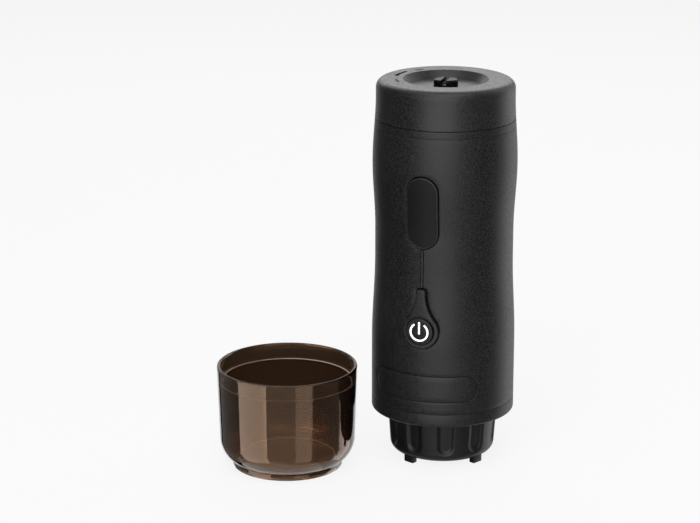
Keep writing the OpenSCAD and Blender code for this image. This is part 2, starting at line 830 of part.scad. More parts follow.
// The power mark: an open ring and an upright bar
module icon_shape(grow, z0, z1) {
    wedge = 2 * icon_r;
    half_w = icon_w / 2 + grow;
    difference() {
        ring(icon_r + grow, icon_r - icon_w - grow, z0, z1);
        translate([0, 0, z0 - cut]) linear_extrude(height = z1 - z0 + 2 * cut)
            polygon([[0, grow], [wedge * sin(icon_open), wedge * cos(icon_open) + grow],
                [-wedge * sin(icon_open), wedge * cos(icon_open) + grow]]);
    }
    block([-half_w, icon_bar[0] * icon_r - grow, z0], [half_w, icon_bar[1] * icon_r + grow, z1]);
}

// Power icon: light guide let into the button
module power_icon() {
    color("#f4f4f2") on_machine() facing_front(button_z)
        icon_shape(0, button_face - icon_h + push_gap, button_face + push_gap);
}

// Switch plunger behind the button
module switch_plunger() {
    color("#46464a") on_machine() facing_front(button_z)
        rod(plunger_r, plunger_end, button_flange_y - button_flange_t);
}

// Tactile switch on the board
module tact_switch() {
    color("#1a1a1c") on_machine() facing_front(button_z) difference() {
        block([-switch_w / 2, -switch_w / 2, board_y], [switch_w / 2, switch_w / 2, board_y + switch_h]);
        rod(plunger_r + plunger_gap, board_y + switch_floor, board_y + switch_h + cut);
    }
}

// Slots in both decks that hold the control board
board_slot = 1.5;
module board_space(grow) {
    block([-board_w / 2 - grow, -board_y - grow, lower_deck_top - board_slot - grow],
        [board_w / 2 + grow, board_t - board_y + grow, upper_deck_z + board_slot + grow]);
}

// Control board, upright behind the front
module control_board() {
    color("#1f5b35") on_machine() board_space(0);
}

// Parts soldered to the back of the board: place beside the middle and over the pump tube's foot, and size
board_chips = [[[-9, 30], [7, 1.2, 7]], [[2, 31], [4.5, 1.6, 5]], [[-11, -6], [6, 3, 6]],
    [[4, -6], [6, 2.2, 6]]];
capacitor_drop = 3;
capacitor_r = 2.5;
capacitor_h = 4;
module board_parts() {
    back = board_t - board_y;
    color("#17171a") on_machine() {
        for (chip = board_chips) translate([chip[0][0], back, tube_z + chip[0][1]]) cube(chip[1]);
        translate([0, back, tube_z - capacitor_drop]) rotate([-90, 0, 0])
            cylinder(r = capacitor_r, h = capacitor_h);
    }
}

// Name plate: bare inlay across the lower front
module name_plate() {
    color("#2e2e30") on_machine() intersection() {
        plate_solid(plate_h - 2 * plate_gap);
        difference() {
            body_solid(plate_z - plate_h, plate_z + plate_h, 0);
            rod(body_r - plate_t + push_gap, shell_z - cut, shell_top, $fn = body_sides);
        }
    }
}

// Base cover: closes the bottom of the shell, with a spigot inside it
module base_cover() {
    color("#29292b") on_machine() difference() {
        union() {
            rotate_extrude() polygon(concat(
                [[0, base_z]],
                arc([body_r - base_edge_r, base_z + base_edge_r], base_edge_r, -90, 0, 8),
                [[body_r, base_top], [0, base_top]]));
            rod(base_spigot_r, base_top, base_z + base_floor + base_spigot_h);
        }
        rod(base_spigot_in, group_flange_z, shell_top);
        rod(group_plain_r + slip, base_z - cut, group_flange_z + cut);
        for (angle = base_screw_angles) at_polar(boss_ring_r, angle, 0) {
            rod(base_screw_head_r + slip, base_z - cut, base_z + base_screw_head_h + slip);
            rod(screw_r + slip, base_z, group_flange_z + cut);
        }
    }
}

// Screws from below through base and group flange into the lower deck
module base_screws() {
    color("#8a8a8e") on_machine()
        for (angle = base_screw_angles) at_polar(boss_ring_r, angle, 0) {
            rod(base_screw_head_r, base_z + slip, base_z + slip + base_screw_head_h);
            rod(screw_r, base_z + slip + base_screw_head_h, base_z + base_screw_len);
        }
}

// Group head: threaded neck, cavity for the basket, flange and hose spigot
module group_head() {
    color("#3a3a3c") on_machine() difference() {
        union() {
            rod(group_root_r, neck_end, cap_top);
            thread_ridge(group_root_r, 1, neck_end + thread_half + room, cap_top - thread_half - room);
            rod(group_plain_r, cap_top, group_cavity_top);
            rod(group_flange_r, group_flange_z, group_cavity_top);
            rod(group_plain_r, group_cavity_top, group_top);
            on_flow(0) rod(spigot_r, group_top, group_top + group_barb_h);
        }
        rod(group_in_r, neck_end - cut, group_cavity_top);
        on_flow(0) rod(spigot_bore_r, group_cavity_top - cut, group_top + group_barb_h + cut);
        rod(shower_screw_r + push_gap, group_cavity_top - cut, shower_screw_top + room);
        for (angle = base_screw_angles)
            at_polar(boss_ring_r, angle, 0)
                rod(screw_r + slip, group_flange_z - cut, group_cavity_top + cut);
    }
}

// Shower plate: disc with rings of water holes
shower_screw_r = 1.5;
shower_screw_head_r = 2.8;
shower_screw_head_h = 1.2;
shower_screw_top = group_top - 1;
shower_hole_r = 0.7;
shower_rings = [[6, 6], [10, 12], [14, 18]];
module shower_plate() {
    color("#c4c6c9") on_machine() difference() {
        rod(group_in_r - slip, shower_z, shower_z + shower_h);
        rod(shower_screw_r + slip, shower_z - cut, shower_z + shower_h + cut);
        for (hole_ring = shower_rings)
            for (i = [0 : hole_ring[1] - 1])
                at_polar(hole_ring[0], 360 * i / hole_ring[1], 0)
                    rod(shower_hole_r, shower_z - cut, shower_z + shower_h + cut);
    }
}

// Screw that holds the shower plate up in the group
module shower_screw() {
    color("#9a9a9e") on_machine() {
        rod(shower_screw_head_r, shower_z - shower_screw_head_h, shower_z);
        rod(shower_screw_r, shower_z, shower_screw_top);
    }
}

// Group seal: soft ring between shower plate and basket
seal_in_w = 2.5;
module group_seal() {
    color("#6e6b66") on_machine() ring(group_in_r - slip, basket_r - seal_in_w, seal_z, shower_z);
}

// Coffee basket: steel cup with a perforated floor and a rolled rim
basket_rim_h = 1;
basket_hole_r = 0.5;
basket_rings = [[3, 6], [6, 12], [9, 18], [12, 24], [15, 30]];
module coffee_basket() {
    color("#c9cbce") on_machine() difference() {
        union() {
            rod(basket_r, basket_z, basket_top);
            rod(group_in_r - slip, basket_top - basket_rim_h, basket_top);
        }
        rod(basket_r - basket_wall, basket_z + basket_wall, basket_top + cut);
        rod(basket_hole_r, basket_z - cut, basket_top);
        for (hole_ring = basket_rings)
            for (i = [0 : hole_ring[1] - 1])
                at_polar(hole_ring[0], 360 * i / hole_ring[1], 0)
                    rod(basket_hole_r, basket_z - cut, basket_top);
    }
}

// Brew cap: ribbed cap on four feet, with an inner thread, a seat for the basket and the coffee outlet
module brew_cap() {
    ledge_z = neck_end - room;
    top_edge = 0.4;
    color("#262628") on_machine() union() {
        difference() {
            union() {
                rotate_extrude() polygon(concat(
                    [[0, foot_h]],
                    arc([cap_low_r - cap_edge_r, foot_h + cap_edge_r], cap_edge_r, -90, 0, 8),
                    [[cap_r, cap_top - top_edge], [cap_r - top_edge, cap_top], [0, cap_top]]));
                for (i = [0 : 3]) rotate([0, 0, foot_angle + 90 * i]) brew_foot();
            }
            for (i = [0 : flutes - 1])
                at_polar(cap_r + flute_r - flute_depth, flute_angle + 360 * i / flutes, 0)
                    rod(flute_r, foot_h - cut, cap_top + cut);
            rod(group_bore_r, ledge_z, cap_top + cut);
            rod(basket_r + room, cap_floor_z, ledge_z + cut);
            rod(basket_r - drain_rim, cap_floor_z - drain_d, cap_floor_z + cut);
            rod(outlet_r, foot_h - cut, cap_floor_z + cut);
        }
        thread_ridge(group_bore_r, -1, neck_end + thread_half + room, cap_top - thread_half - room);
    }
}

// One foot under the brew cap, on +X; it is let into the cap by a share of the cap's rounding
foot_bite = 0.6;
module brew_foot() {
    top = foot_h + foot_bite * cap_edge_r;
    block([foot_in_r, -foot_w / 2, 0], [foot_out_r, foot_w / 2, top]);
}

// Lower deck: plate on three bosses that carries cells, pump and posts
module lower_deck() {
    color("#56565a") on_machine() difference() {
        union() {
            rod(deck_r, lower_deck_z, lower_deck_top);
            for (angle = base_screw_angles)
                at_polar(boss_ring_r, angle, 0) rod(boss_r, group_cavity_top, lower_deck_z);
        }
        on_flow(0) rod(hose_hole_r, lower_deck_z - cut, lower_deck_top + cut);
        for (angle = base_screw_angles)
            at_polar(boss_ring_r, angle, 0) rod(screw_r + push_gap, group_cavity_top - cut, lower_deck_z);
        board_space(rest_gap);
        post_holes(lower_deck_z, lower_deck_top);
    }
}

// Upper deck: plate under heater and tank
module upper_deck() {
    color("#56565a") on_machine() difference() {
        rod(deck_r, upper_deck_z, heater_z);
        on_flow(0) rod(spigot_r + room, upper_deck_z - cut, heater_z + cut);
        translate(thermostat_at) rod(thermostat_r + room, upper_deck_z - cut, heater_z + cut);
        for (side = [-1, 1])
            translate([side * lead_x, heater_lead_y, 0])
                rod(lead_r + room, upper_deck_z - cut, heater_z + cut);
        board_space(rest_gap);
        window_space();
        post_holes(upper_deck_z, heater_z);
    }
}

// Screw holes of the posts through a deck
module post_holes(z0, z1) {
    for (post = posts) at_polar(post[0], post[1], 0) rod(screw_r + slip, z0 - cut, z1 + cut);
}

// A post between the decks, drilled at both ends
module frame_post(index) {
    drill = post_screw_len - deck_h + post_drill_spare;
    color("#b08d4a") on_machine() at_polar(posts[index][0], posts[index][1], 0) difference() {
        rod(post_r, lower_deck_top, upper_deck_z);
        rod(screw_r + push_gap, lower_deck_top - cut, lower_deck_top + drill);
        rod(screw_r + push_gap, upper_deck_z - drill, upper_deck_z + cut);
    }
}

// Screws at both ends of the posts
module frame_screws() {
    color("#8a8a8e") on_machine() for (post = posts) at_polar(post[0], post[1], 0) {
        screw_down(heater_z, screw_head_r, screw_head_h, screw_r, post_screw_len);
        translate([0, 0, lower_deck_z]) mirror([0, 0, 1])
            screw_down(0, screw_head_r, screw_head_h, screw_r, post_screw_len);
    }
}

// A battery cell with its raised pole
module battery_cell(index) {
    color("#3d6fa8") on_machine() at_polar(cell_ring_r, cell_angles[index], 0) {
        rod(cell_r, cell_z, cell_top - cell_pole_h);
        rod(cell_pole_r, cell_top - cell_pole_h, cell_top);
    }
}

// The outline that a cell holder and its pockets share
module holder_solid(z0, z1) {
    middle = [0, cell_ring_r * cos(cell_step / 2)];
    bridge = [2 * cell_ring_r * sin(cell_step / 2), holder_r];
    translate([0, 0, z0]) linear_extrude(height = z1 - z0) {
        for (angle = cell_angles) translate(cell_ring_r * [cos(angle), sin(angle)]) circle(r = holder_r);
        for (side = [-1, 1]) rotate(side * cell_step / 2) translate(middle) square(bridge, center = true);
    }
}
module cell_pockets(z0, z1) {
    for (angle = cell_angles) at_polar(cell_ring_r, angle, 0) rod(cell_r + cell_play, z0, z1);
}

// Cell holders: trays round the cells' ends
module lower_cell_holder() {
    floor_z = lower_deck_top + holder_plate;
    color("#77777b") on_machine() difference() {
        holder_solid(lower_deck_top, cell_z + holder_depth);
        cell_pockets(floor_z, cell_z + holder_depth + cut);
    }
}
module upper_cell_holder() {
    ceiling_z = upper_holder_top - holder_plate;
    color("#77777b") on_machine() difference() {
        holder_solid(cell_top - holder_depth, upper_holder_top);
        cell_pockets(cell_top - holder_depth - cut, ceiling_z);
        for (side = [0, 2])
            at_polar(cell_ring_r, cell_angles[side], 0)
                rod(lead_r + room, ceiling_z - cut, upper_holder_top + cut);
    }
}

// Contact plates at both ends of each cell
module cell_contacts() {
    contact_r = 6;
    color("#c8c2a8") on_machine() for (angle = cell_angles) at_polar(cell_ring_r, angle, 0) {
        rod(contact_r, cell_z - contact_h - push_gap, cell_z - push_gap);
        rod(contact_r, cell_top + push_gap, cell_top + push_gap + contact_h);
    }
}

// Pump yoke: steel frame round the coil
module pump_yoke() {
    half_w = yoke_in_w / 2;
    color("#9b9ca0") on_machine() on_flow(0) difference() {
        block([-half_w - yoke_t, -yoke_d / 2, coil_z - rest_gap - yoke_t],
            [half_w + yoke_t, yoke_d / 2, coil_z + coil_h + rest_gap + yoke_t]);
        block([-half_w, -yoke_d, coil_z - rest_gap], [half_w, yoke_d, coil_z + coil_h + rest_gap]);
        rod(tube_r + rest_gap, tube_z, tube_top);
    }
}

// Pump coil: wound bobbin
module pump_coil() {
    color("#b5652b") on_machine() on_flow(0) difference() {
        union() {
            rod(coil_r - winding_drop, coil_z, coil_z + coil_h);
            rod(coil_r, coil_z, coil_z + coil_flange_h);
            rod(coil_r, coil_z + coil_h - coil_flange_h, coil_z + coil_h);
        }
        rod(tube_r + rest_gap, coil_z - cut, coil_z + coil_h + cut);
    }
}

// Pump tube: guides the armature
module pump_tube() {
    color("#c9a45a") on_machine() on_flow(0) ring(tube_r, pump_bore_r, tube_z, tube_top);
}

// Pump armature with its piston
module pump_armature() {
    color("#d3d4d6") on_machine() on_flow(0) {
        rod(pump_bore_r - armature_gap, armature_z, armature_z + armature_h);
        rod(piston_r, armature_z - piston_len, armature_z);
    }
}

// Springs under and over the armature
module pump_spring() {
    color("#a9abae") on_machine() spring(tube_z, armature_z, 6);
}
module buffer_spring() {
    color("#a9abae") on_machine() spring(armature_z + armature_h, tube_top, 4);
}

// Pump inlet: flange with the upper hose spigot
module pump_inlet() {
    color("#e1ddd2") on_machine() on_flow(0) difference() {
        union() {
            rod(outlet_body_r, tube_top, tube_top + inlet_flange_h);
            rod(spigot_r, tube_top + inlet_flange_h, tube_top + inlet_flange_h + inlet_barb_h);
        }
        rod(spigot_bore_r, tube_top - cut, tube_top + inlet_flange_h + inlet_barb_h + cut);
    }
}

// Pump outlet: piston cylinder with the lower hose spigot
module pump_outlet() {
    color("#e1ddd2") on_machine() on_flow(0) difference() {
        union() {
            rod(outlet_body_r, outlet_z, tube_z);
            rod(spigot_r, outlet_z - outlet_barb_h, outlet_z);
        }
        rod(piston_r + piston_gap, outlet_z - outlet_barb_h - cut, tube_z + cut);
    }
}

// Pump mount: soft ring under the pump
module pump_mount() {
    color("#4b4b4d") on_machine() on_flow(0)
        ring(outlet_body_r, hose_hole_r, lower_deck_top, outlet_z);
}

// Hoses: tank to pump, and pump to group
module hose(z0, z1) {
    on_flow(0) ring(hose_r, spigot_r + push_gap, z0, z1);
}
module inlet_hose() {
    color("#d9d6cd") on_machine() hose(tube_top + inlet_flange_h + rest_gap, upper_deck_z - rest_gap);
}
module outlet_hose() {
    color("#d9d6cd") on_machine() hose(group_top + rest_gap, outlet_z - rest_gap);
}

// Small board that carries the charging socket, between upper holder and deck
module port_board() {
    color("#1f5b35") on_machine()
        block([-port_board_w / 2, socket_back - port_board_t, upper_holder_top],
            [port_board_w / 2, socket_back, upper_deck_z]);
}

// Charging socket: metal mouth with a tongue
socket_len = 6;
socket_out = 0.2;
socket_front = shell_bore_r + socket_out;
socket_back = socket_front - socket_len;
socket_wall = 0.35;
socket_floor = 1;
// Half the tongue's width and thickness, and how far it ends inside the mouth
tongue = [3.3, 0.35];
tongue_in = 0.8;
module charge_port() {
    color("#b7b9bc") on_machine() translate([0, 0, port_z]) rotate([-90, 0, 0]) difference() {
        translate([0, 0, socket_back]) linear_extrude(height = socket_len)
            rotate([0, 0, 90]) pill(socket_h, socket_w);
        difference() {
            translate([0, 0, socket_back + socket_floor]) linear_extrude(height = socket_len)
                rotate([0, 0, 90]) pill(socket_h - 2 * socket_wall, socket_w - 2 * socket_wall);
            block([-tongue[0], -tongue[1], socket_back], [tongue[0], tongue[1], socket_front - tongue_in]);
        }
    }
}

// Flap over the charging socket, with a bead that it turns on
module port_flap() {
    color("#1b1b1c") on_machine() union() {
        intersection() {
            block([-flap_w / 2, flap_in_y, flap_axis_z], [flap_w / 2, shoulder_r + cut, port_z + flap_h / 2]);
            body_solid(shell_z, shell_top, 0);
        }
        translate([-flap_bead_w / 2, flap_axis_y, flap_axis_z]) rotate([0, 90, 0])
            cylinder(r = flap_bead_r, h = flap_bead_w);
    }
}

// Leads from heater and cells to the control board, one of each pair per side
lead_r = 0.7;
lead_x = 7;
lead_away = [1, 0.21, 0.13];
lead_bend = 3;
lead_spread = 4;
heater_lead_y = 12;
heater_lead_drop = 7;
battery_lead_rise = 5;
lead_end_y = board_t - board_y + rest_gap;
module lead(path) {
    for (side = [-1, 1])
        swept_tube([for (p = path) [side * p[0], p[1], p[2]]], lead_r, lead_away);
}
module heater_leads() {
    run_z = upper_deck_z - heater_lead_drop;
    color("#b23a2e") on_machine() lead([
        [lead_x, heater_lead_y, heater_z - rest_gap],
        [lead_x, heater_lead_y, run_z + lead_bend],
        [lead_x, heater_lead_y - lead_bend, run_z],
        [lead_x, lead_end_y + lead_bend, run_z],
        [lead_x, lead_end_y, run_z]]);
}
module battery_leads() {
    run_z = upper_holder_top + battery_lead_rise;
    run_x = lead_x + lead_spread;
    cell = [cell_ring_r * cos(cell_angles[0]), cell_ring_r * sin(cell_angles[0])];
    color("#20201f") on_machine() lead([
        [cell[0], cell[1], cell_top + push_gap + contact_h + rest_gap],
        [cell[0], cell[1], run_z - lead_bend],
        [cell[0], cell[1] - lead_bend, run_z],
        [run_x, -flow_y, run_z],
        [run_x, lead_end_y + lead_bend, run_z],
        [run_x, lead_end_y, run_z]]);
}

// Cup: tapered, with a rounded lower edge, a foot ring and a wider ring inside the rim
cup_foot_h = 1.2;
cup_foot_w = 3.2;
cup_foot_edge = 0.3;
cup_foot_side = 1.5;
cup_corner_low = 0.6;
cup_step_slope = 0.2;
cup_crease = 0.3;
cup_corner_start = -57;
module cup() {
    corner_z = cup_corner_low + cup_corner_r;
    in_low_r = cup_low_r - cup_wall - cup_step_w;
    floor_z = cup_foot_h + cup_floor;
    step_z = cup_h - cup_step_depth;
    function wall_r(z) = cup_low_r + (cup_rim_r - cup_low_r) * (z - corner_z) / (cup_h - corner_z);
    step_r = wall_r(step_z) - cup_wall;
    foot_in_r = cup_foot_r - cup_foot_w;
    floor_r = in_low_r - cup_in_corner_r;
    color("#6b4a35", 0.5) translate([machine_x + cup_dx, machine_y + cup_dy, 0])
        rotate_extrude() polygon(concat(
            [[0, cup_foot_h], [foot_in_r, cup_foot_h], [foot_in_r + cup_foot_edge, 0]],
            [[cup_foot_r - cup_foot_edge, 0], [cup_foot_r, cup_foot_side]],
            arc([cup_low_r - cup_corner_r, corner_z], cup_corner_r, cup_corner_start, 0, 10),
            arc([cup_rim_r - cup_wall / 2, cup_h - cup_wall / 2], cup_wall / 2, 0, 180, 8),
            [[step_r, step_z], [step_r - cup_step_w, step_z - cup_step_slope]],
            arc([floor_r, floor_z + cup_crease + cup_in_corner_r], cup_in_corner_r, 0, -90, 12),
            [[floor_r - cup_crease / 2, floor_z], [0, floor_z]]));
}

tank_lid();
vent_cap();
vent_valve();
lid_gasket();
collar_ring();
water_tank();
heater_plate();
thermostat();
outer_shell();
display_window();
display_module();
button_bezel();
power_button();
power_icon();
switch_plunger();
tact_switch();
control_board();
board_parts();
name_plate();
base_cover();
base_screws();
group_head();
shower_plate();
shower_screw();
group_seal();
coffee_basket();
brew_cap();
lower_deck();
upper_deck();
frame_post(0);  // frame_post_1
frame_post(1);  // frame_post_2
frame_post(2);  // frame_post_3
frame_post(3);  // frame_post_4
frame_screws();
battery_cell(0);  // battery_cell_1
battery_cell(1);  // battery_cell_2
battery_cell(2);  // battery_cell_3
lower_cell_holder();
upper_cell_holder();
cell_contacts();
pump_yoke();
pump_coil();
pump_tube();
pump_armature();
pump_spring();
buffer_spring();
pump_inlet();
pump_outlet();
pump_mount();
inlet_hose();
outlet_hose();
port_board();
charge_port();
port_flap();
heater_leads();
battery_leads();
cup();
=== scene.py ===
import math

import bmesh
import bpy
import numpy as np
from bpy.props import FloatProperty, FloatVectorProperty, IntProperty, PointerProperty
from bpy.types import Operator, Panel, PropertyGroup
from mathutils import Matrix, Vector
from mathutils.geometry import delaunay_2d_cdt


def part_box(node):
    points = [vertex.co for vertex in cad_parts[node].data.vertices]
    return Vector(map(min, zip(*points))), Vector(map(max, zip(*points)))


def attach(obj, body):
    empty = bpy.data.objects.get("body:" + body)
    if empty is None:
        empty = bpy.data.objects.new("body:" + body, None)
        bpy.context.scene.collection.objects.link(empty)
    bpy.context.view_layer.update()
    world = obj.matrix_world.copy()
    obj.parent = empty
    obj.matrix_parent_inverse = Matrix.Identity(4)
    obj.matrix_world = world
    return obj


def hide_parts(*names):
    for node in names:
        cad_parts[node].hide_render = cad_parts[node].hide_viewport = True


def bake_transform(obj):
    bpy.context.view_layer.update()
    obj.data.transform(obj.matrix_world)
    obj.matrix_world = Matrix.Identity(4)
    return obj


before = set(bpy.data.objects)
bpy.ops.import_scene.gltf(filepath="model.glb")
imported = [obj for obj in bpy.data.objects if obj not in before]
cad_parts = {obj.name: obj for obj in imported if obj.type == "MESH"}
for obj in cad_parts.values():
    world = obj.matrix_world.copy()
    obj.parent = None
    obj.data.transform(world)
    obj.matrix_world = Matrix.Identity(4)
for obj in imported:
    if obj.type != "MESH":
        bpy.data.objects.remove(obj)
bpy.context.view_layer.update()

bl_info = {
    "name": "Portable coffee machine",
    "version": (1, 0, 0),
    "blender": (4, 5, 0),
    "location": "View3D > Sidebar > Coffee machine",
    "description": "Dresses the packed parts of a portable coffee machine and its cup, and sets the studio",
    "category": "Object",
}

MM = 0.001


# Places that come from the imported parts

def box_mm(node):
    """Lowest and highest corner of a CAD node at rest, in millimetres."""
    low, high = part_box(node)
    return [v / MM for v in low], [v / MM for v in high]


def middle(node):
    """Middle of a CAD node at rest, in millimetres."""
    return [(a + b) / 2 for a, b in zip(*box_mm(node))]


def heights(node):
    """Lowest and highest level of a CAD node at rest, in millimetres."""
    return [corner[2] for corner in box_mm(node)]


AXIS = middle("tank_lid")[:2]
CUP_AXIS = middle("cup")[:2]
SHELL_Z, SHELL_TOP = heights("outer_shell")
COLLAR_LOW, COLLAR_TOP = heights("collar_ring")
LID_Z, LID_TOP = heights("tank_lid")
CAP_TOP = heights("brew_cap")[1]
CUP_H = heights("cup")[1]
WINDOW_Z = middle("display_window")[2]
BUTTON_Z = middle("power_button")[2]
PLATE_Z = middle("name_plate")[2]
PORT_Z = middle("charge_port")[2]

# Sizes of the body and of what is on it, in millimetres
BODY_R, WAIST_R, SHOULDER_R, CROWN_R = 36.0, 34.5, 35.95, 34.4
STRAIGHT_TOP, WAIST_LOW = SHELL_Z + 30.0, SHELL_Z + 73.0
WAIST_HIGH, SHOULDER_AT = SHELL_Z + 87.5, SHELL_Z + 121.0
LID_CORNER_R, LID_STRAIGHT = 4.2, 3.0
CROWN_AT = LID_TOP - LID_CORNER_R - LID_STRAIGHT
BORE_R, NECK_BORE_R = 33.0, 31.75
LIP_OUT_R, LIP_IN_R, LIP_W = 32.7, 31.5, 1.8
FRONT_GAP, COLLAR_GAP = 0.25, 0.08
WINDOW_W, WINDOW_H = 16.8, 37.0
BEZEL_R, BEZEL_TIP, BEZEL_TIP_W, BEZEL_TIP_R, BEZEL_BLEND_R = 9.4, 21.5, 2.8, 2.0, 22.0
BUTTON_HOLE_R = 6.9
PLATE_H, PLATE_ANGLE, PLATE_DEPTH = 13.5, 46.5, 1.0
LINE_RISE, LINE_GAP, LINE_DEPTH, LINE_SHORT = 0.75, 0.3, 0.6, 0.45
FLAP_HALF, FLAP_LOW, FLAP_HIGH, FLAP_SEAT, FLAP_CORNER_R = 6.75, -5.2, 4.5, 33.45, 0.7
SOCKET_W, SOCKET_H = 9.8, 4.1
BACK = BODY_R * math.pi
SCREW_LEAD, THREAD_R, THREAD_STEPS = 4.0, 0.8, 48

# Soft edges, each step as how far it lies in from the edge and below the top, in millimetres
LINE_EDGE = ((0.0, 0.25), (0.08, 0.07), (0.26, 0.0))
RIM_EDGE = ((0.0, 0.3), (0.1, 0.08), (0.3, 0.0))
PLATE_EDGE = ((0.0, 0.22), (0.07, 0.06), (0.22, 0.0))
BUTTON_EDGE = ((0.0, 0.0), (0.2, 0.1), (0.3, 0.3))

# Share of a small rounding at its middle step
ROUND_MIDDLE = 0.3

# Limits of the mesh making, the distances in metres and the angles in degrees
MERGE_NEAR, SLIVER = 2e-6, 1e-7
CREASE, FLAT_ANGLE = 32.0, 0.6

# Most of a noise lies between these two values
NOISE_LOW, NOISE_HIGH = 0.3, 0.7

# The camera's place in metres, the way it looks, and how far down it looks in degrees
CAMERA_PLACE = (0.3924, -1.08485, 0.4375)
CAMERA_HEADING = (-0.3469, 0.9379)
CAMERA_DOWN = 16.17


# Properties: sizes, colours and the stage

def length(label, words, value, low, high):
    """A size in millimetres, kept as a length property."""
    return FloatProperty(name=label, description=words, default=value * MM, min=low * MM, max=high * MM,
                         unit="LENGTH", precision=5)


def colour(label, words, value):
    """A colour property."""
    return FloatVectorProperty(name=label, description=words, default=value, size=3, min=0.0, max=1.0,
                               subtype="COLOR")


def light(label, words, value, most=20.0):
    """A property for the strength of a light."""
    return FloatProperty(name=label, description=words, default=value, min=0.0, max=most)


class MachineSizes(PropertyGroup):
    """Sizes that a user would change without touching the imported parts"""
    edge_round: length("Edge rounding", "Rounding of the moulded rims at the joint lines", 0.1, 0.05, 0.6)
    opening_round: length("Opening rounding", "Rounding of the edges of the shell's openings", 0.2, 0.1, 0.5)
    window_proud: length("Window proud", "How far the display window stands out of the shell", 1.2, 0.0, 1.4)
    bezel_proud: length("Bezel proud", "How far the button bezel stands out of the shell", 2.2, 0.6, 2.4)
    bezel_round: length("Bezel rounding", "Rounding of the bezel's outer edge", 0.7, 0.2, 1.4)
    line_width: length("Line width", "Width of the raised line from the window to the bezel", 1.3, 0.8, 2.0)
    plate_gap: length("Plate joint line", "Joint line round the bare name plate", 0.2, 0.1, 0.4)
    grip_depth: length("Grip depth", "Depth of the grip grooves of the brew cap", 1.3, 0.6, 1.7)
    mark_height: length("Mark height", "How far the turning marks stand on the lid", 0.05, 0.02, 0.2)
    letter_size: length("Letter size", "Height of the letters on the lid", 2.1, 1.2, 3.0)
    round_steps: IntProperty(name="Round steps", description="Steps in a full turn of the round pieces",
                             default=180, min=48, max=360)


class MachineColours(PropertyGroup):
    """Colours of the finishes"""
    shell: colour("Shell black", "Grained black of the body, the lid and the bezel", (0.005, 0.005, 0.0051))
    satin: colour("Satin black", "Black of the brew cap, the button and the vent", (0.003, 0.003, 0.0031))
    window: colour("Window black", "Glossy black of the display window", (0.0035, 0.0034, 0.0034))
    mark: colour("Lit mark", "White of the lit power mark", (1.0, 1.0, 1.0))
    cup_depth: colour("Cup brown", "What the depth of the cup's brown plastic takes out of the light",
                      (0.5, 0.68, 0.885))
    board: colour("Board green", "Lacquer of the circuit boards", (0.012, 0.09, 0.03))
    cell: colour("Cell wrap", "Wrap of the battery cells", (0.03, 0.12, 0.32))


class StageSettings(PropertyGroup):
    """Camera, floor and light of the studio"""
    backdrop: colour("Backdrop", "Colour of the floor and the background", (0.93, 0.93, 0.93))
    floor_glow: FloatProperty(name="Floor glow", default=0.92, min=0.0, max=1.0, subtype="FACTOR",
                              description="Share of the floor that shows the backdrop as it is")
    fill: light("Fill light", "Strength of the even light from all sides", 0.35, 1.0)
    key: light("Front level", "Radiance of the box before the machine", 4.8)
    rim: light("Rim level", "Radiance of the box behind the machine's right side", 1.4)
    cup_light: light("Cup level", "Radiance of the boxes beside the cup", 3.4)
    top: light("Top level", "Radiance of the boxes over the machine and behind it", 2.5)
    lens: FloatProperty(name="Lens", description="Focal length of the camera", default=124.0, min=20.0,
                        max=300.0, unit="CAMERA")


def sizes():
    """The size properties of the scene."""
    return bpy.context.scene.machine_sizes


def colours():
    """The colour properties of the scene."""
    return bpy.context.scene.machine_colours


# Outlines

def body_radius(z):
    """Outside radius of the waisted body at a height."""
    def between(a, b, t):
        return a + (b - a) * (1 - math.cos(math.pi * min(1.0, max(0.0, t)))) / 2
    if z < WAIST_LOW:
        return between(BODY_R, WAIST_R, (z - STRAIGHT_TOP) / (WAIST_LOW - STRAIGHT_TOP))
    if z < SHOULDER_AT:
        return between(WAIST_R, SHOULDER_R, (z - WAIST_HIGH) / (SHOULDER_AT - WAIST_HIGH))
    return between(SHOULDER_R, CROWN_R, (z - SHOULDER_AT) / (CROWN_AT - SHOULDER_AT))


def polar(axis, r, turn):
    """A point at a distance and an angle from an upright axis."""
    return axis[0] + r * math.cos(turn), axis[1] + r * math.sin(turn)


def arc(centre, r, start, end, steps):
    """Points along an arc, angles in degrees."""
    return [polar(centre, r, math.radians(start + (end - start) * i / steps)) for i in range(steps + 1)]


def rounded(corners, steps=5):
    """A closed outline with rounded corners, each corner given as x, y and radius."""
    side_share = 0.49
    out = []
    for i, (x, y, r) in enumerate(corners):
        if r <= 0:
            out.append((x, y))
            continue
        here = Vector((x, y))
        back = Vector(corners[i - 1][:2]) - here
        ahead = Vector(corners[(i + 1) % len(corners)][:2]) - here
        half = back.angle(ahead) / 2
        run = min(r / math.tan(half), back.length * side_share, ahead.length * side_share)
        r = run * math.tan(half)
        centre = here + (back.normalized() + ahead.normalized()).normalized() * (r / math.sin(half))
        first = here + back.normalized() * run - centre
        last = here + ahead.normalized() * run - centre
        start = math.atan2(first.y, first.x)
        swing = (math.atan2(last.y, last.x) - start + math.pi) % (2 * math.pi) - math.pi
        out += [polar(centre, r, start + swing * k / steps) for k in range(steps + 1)]
    return out


def rounded_box(half_x, half_y, r, steps):
    """A rectangle about the origin with rounded corners."""
    corners = ((-half_x, -half_y), (half_x, -half_y), (half_x, half_y), (-half_x, half_y))
    return rounded([(x, y, r) for x, y in corners], steps)


def plain(points):
    """Outline points that stay as they are among rounded corners."""
    return [(x, y, 0.0) for x, y in points]


# Meshes

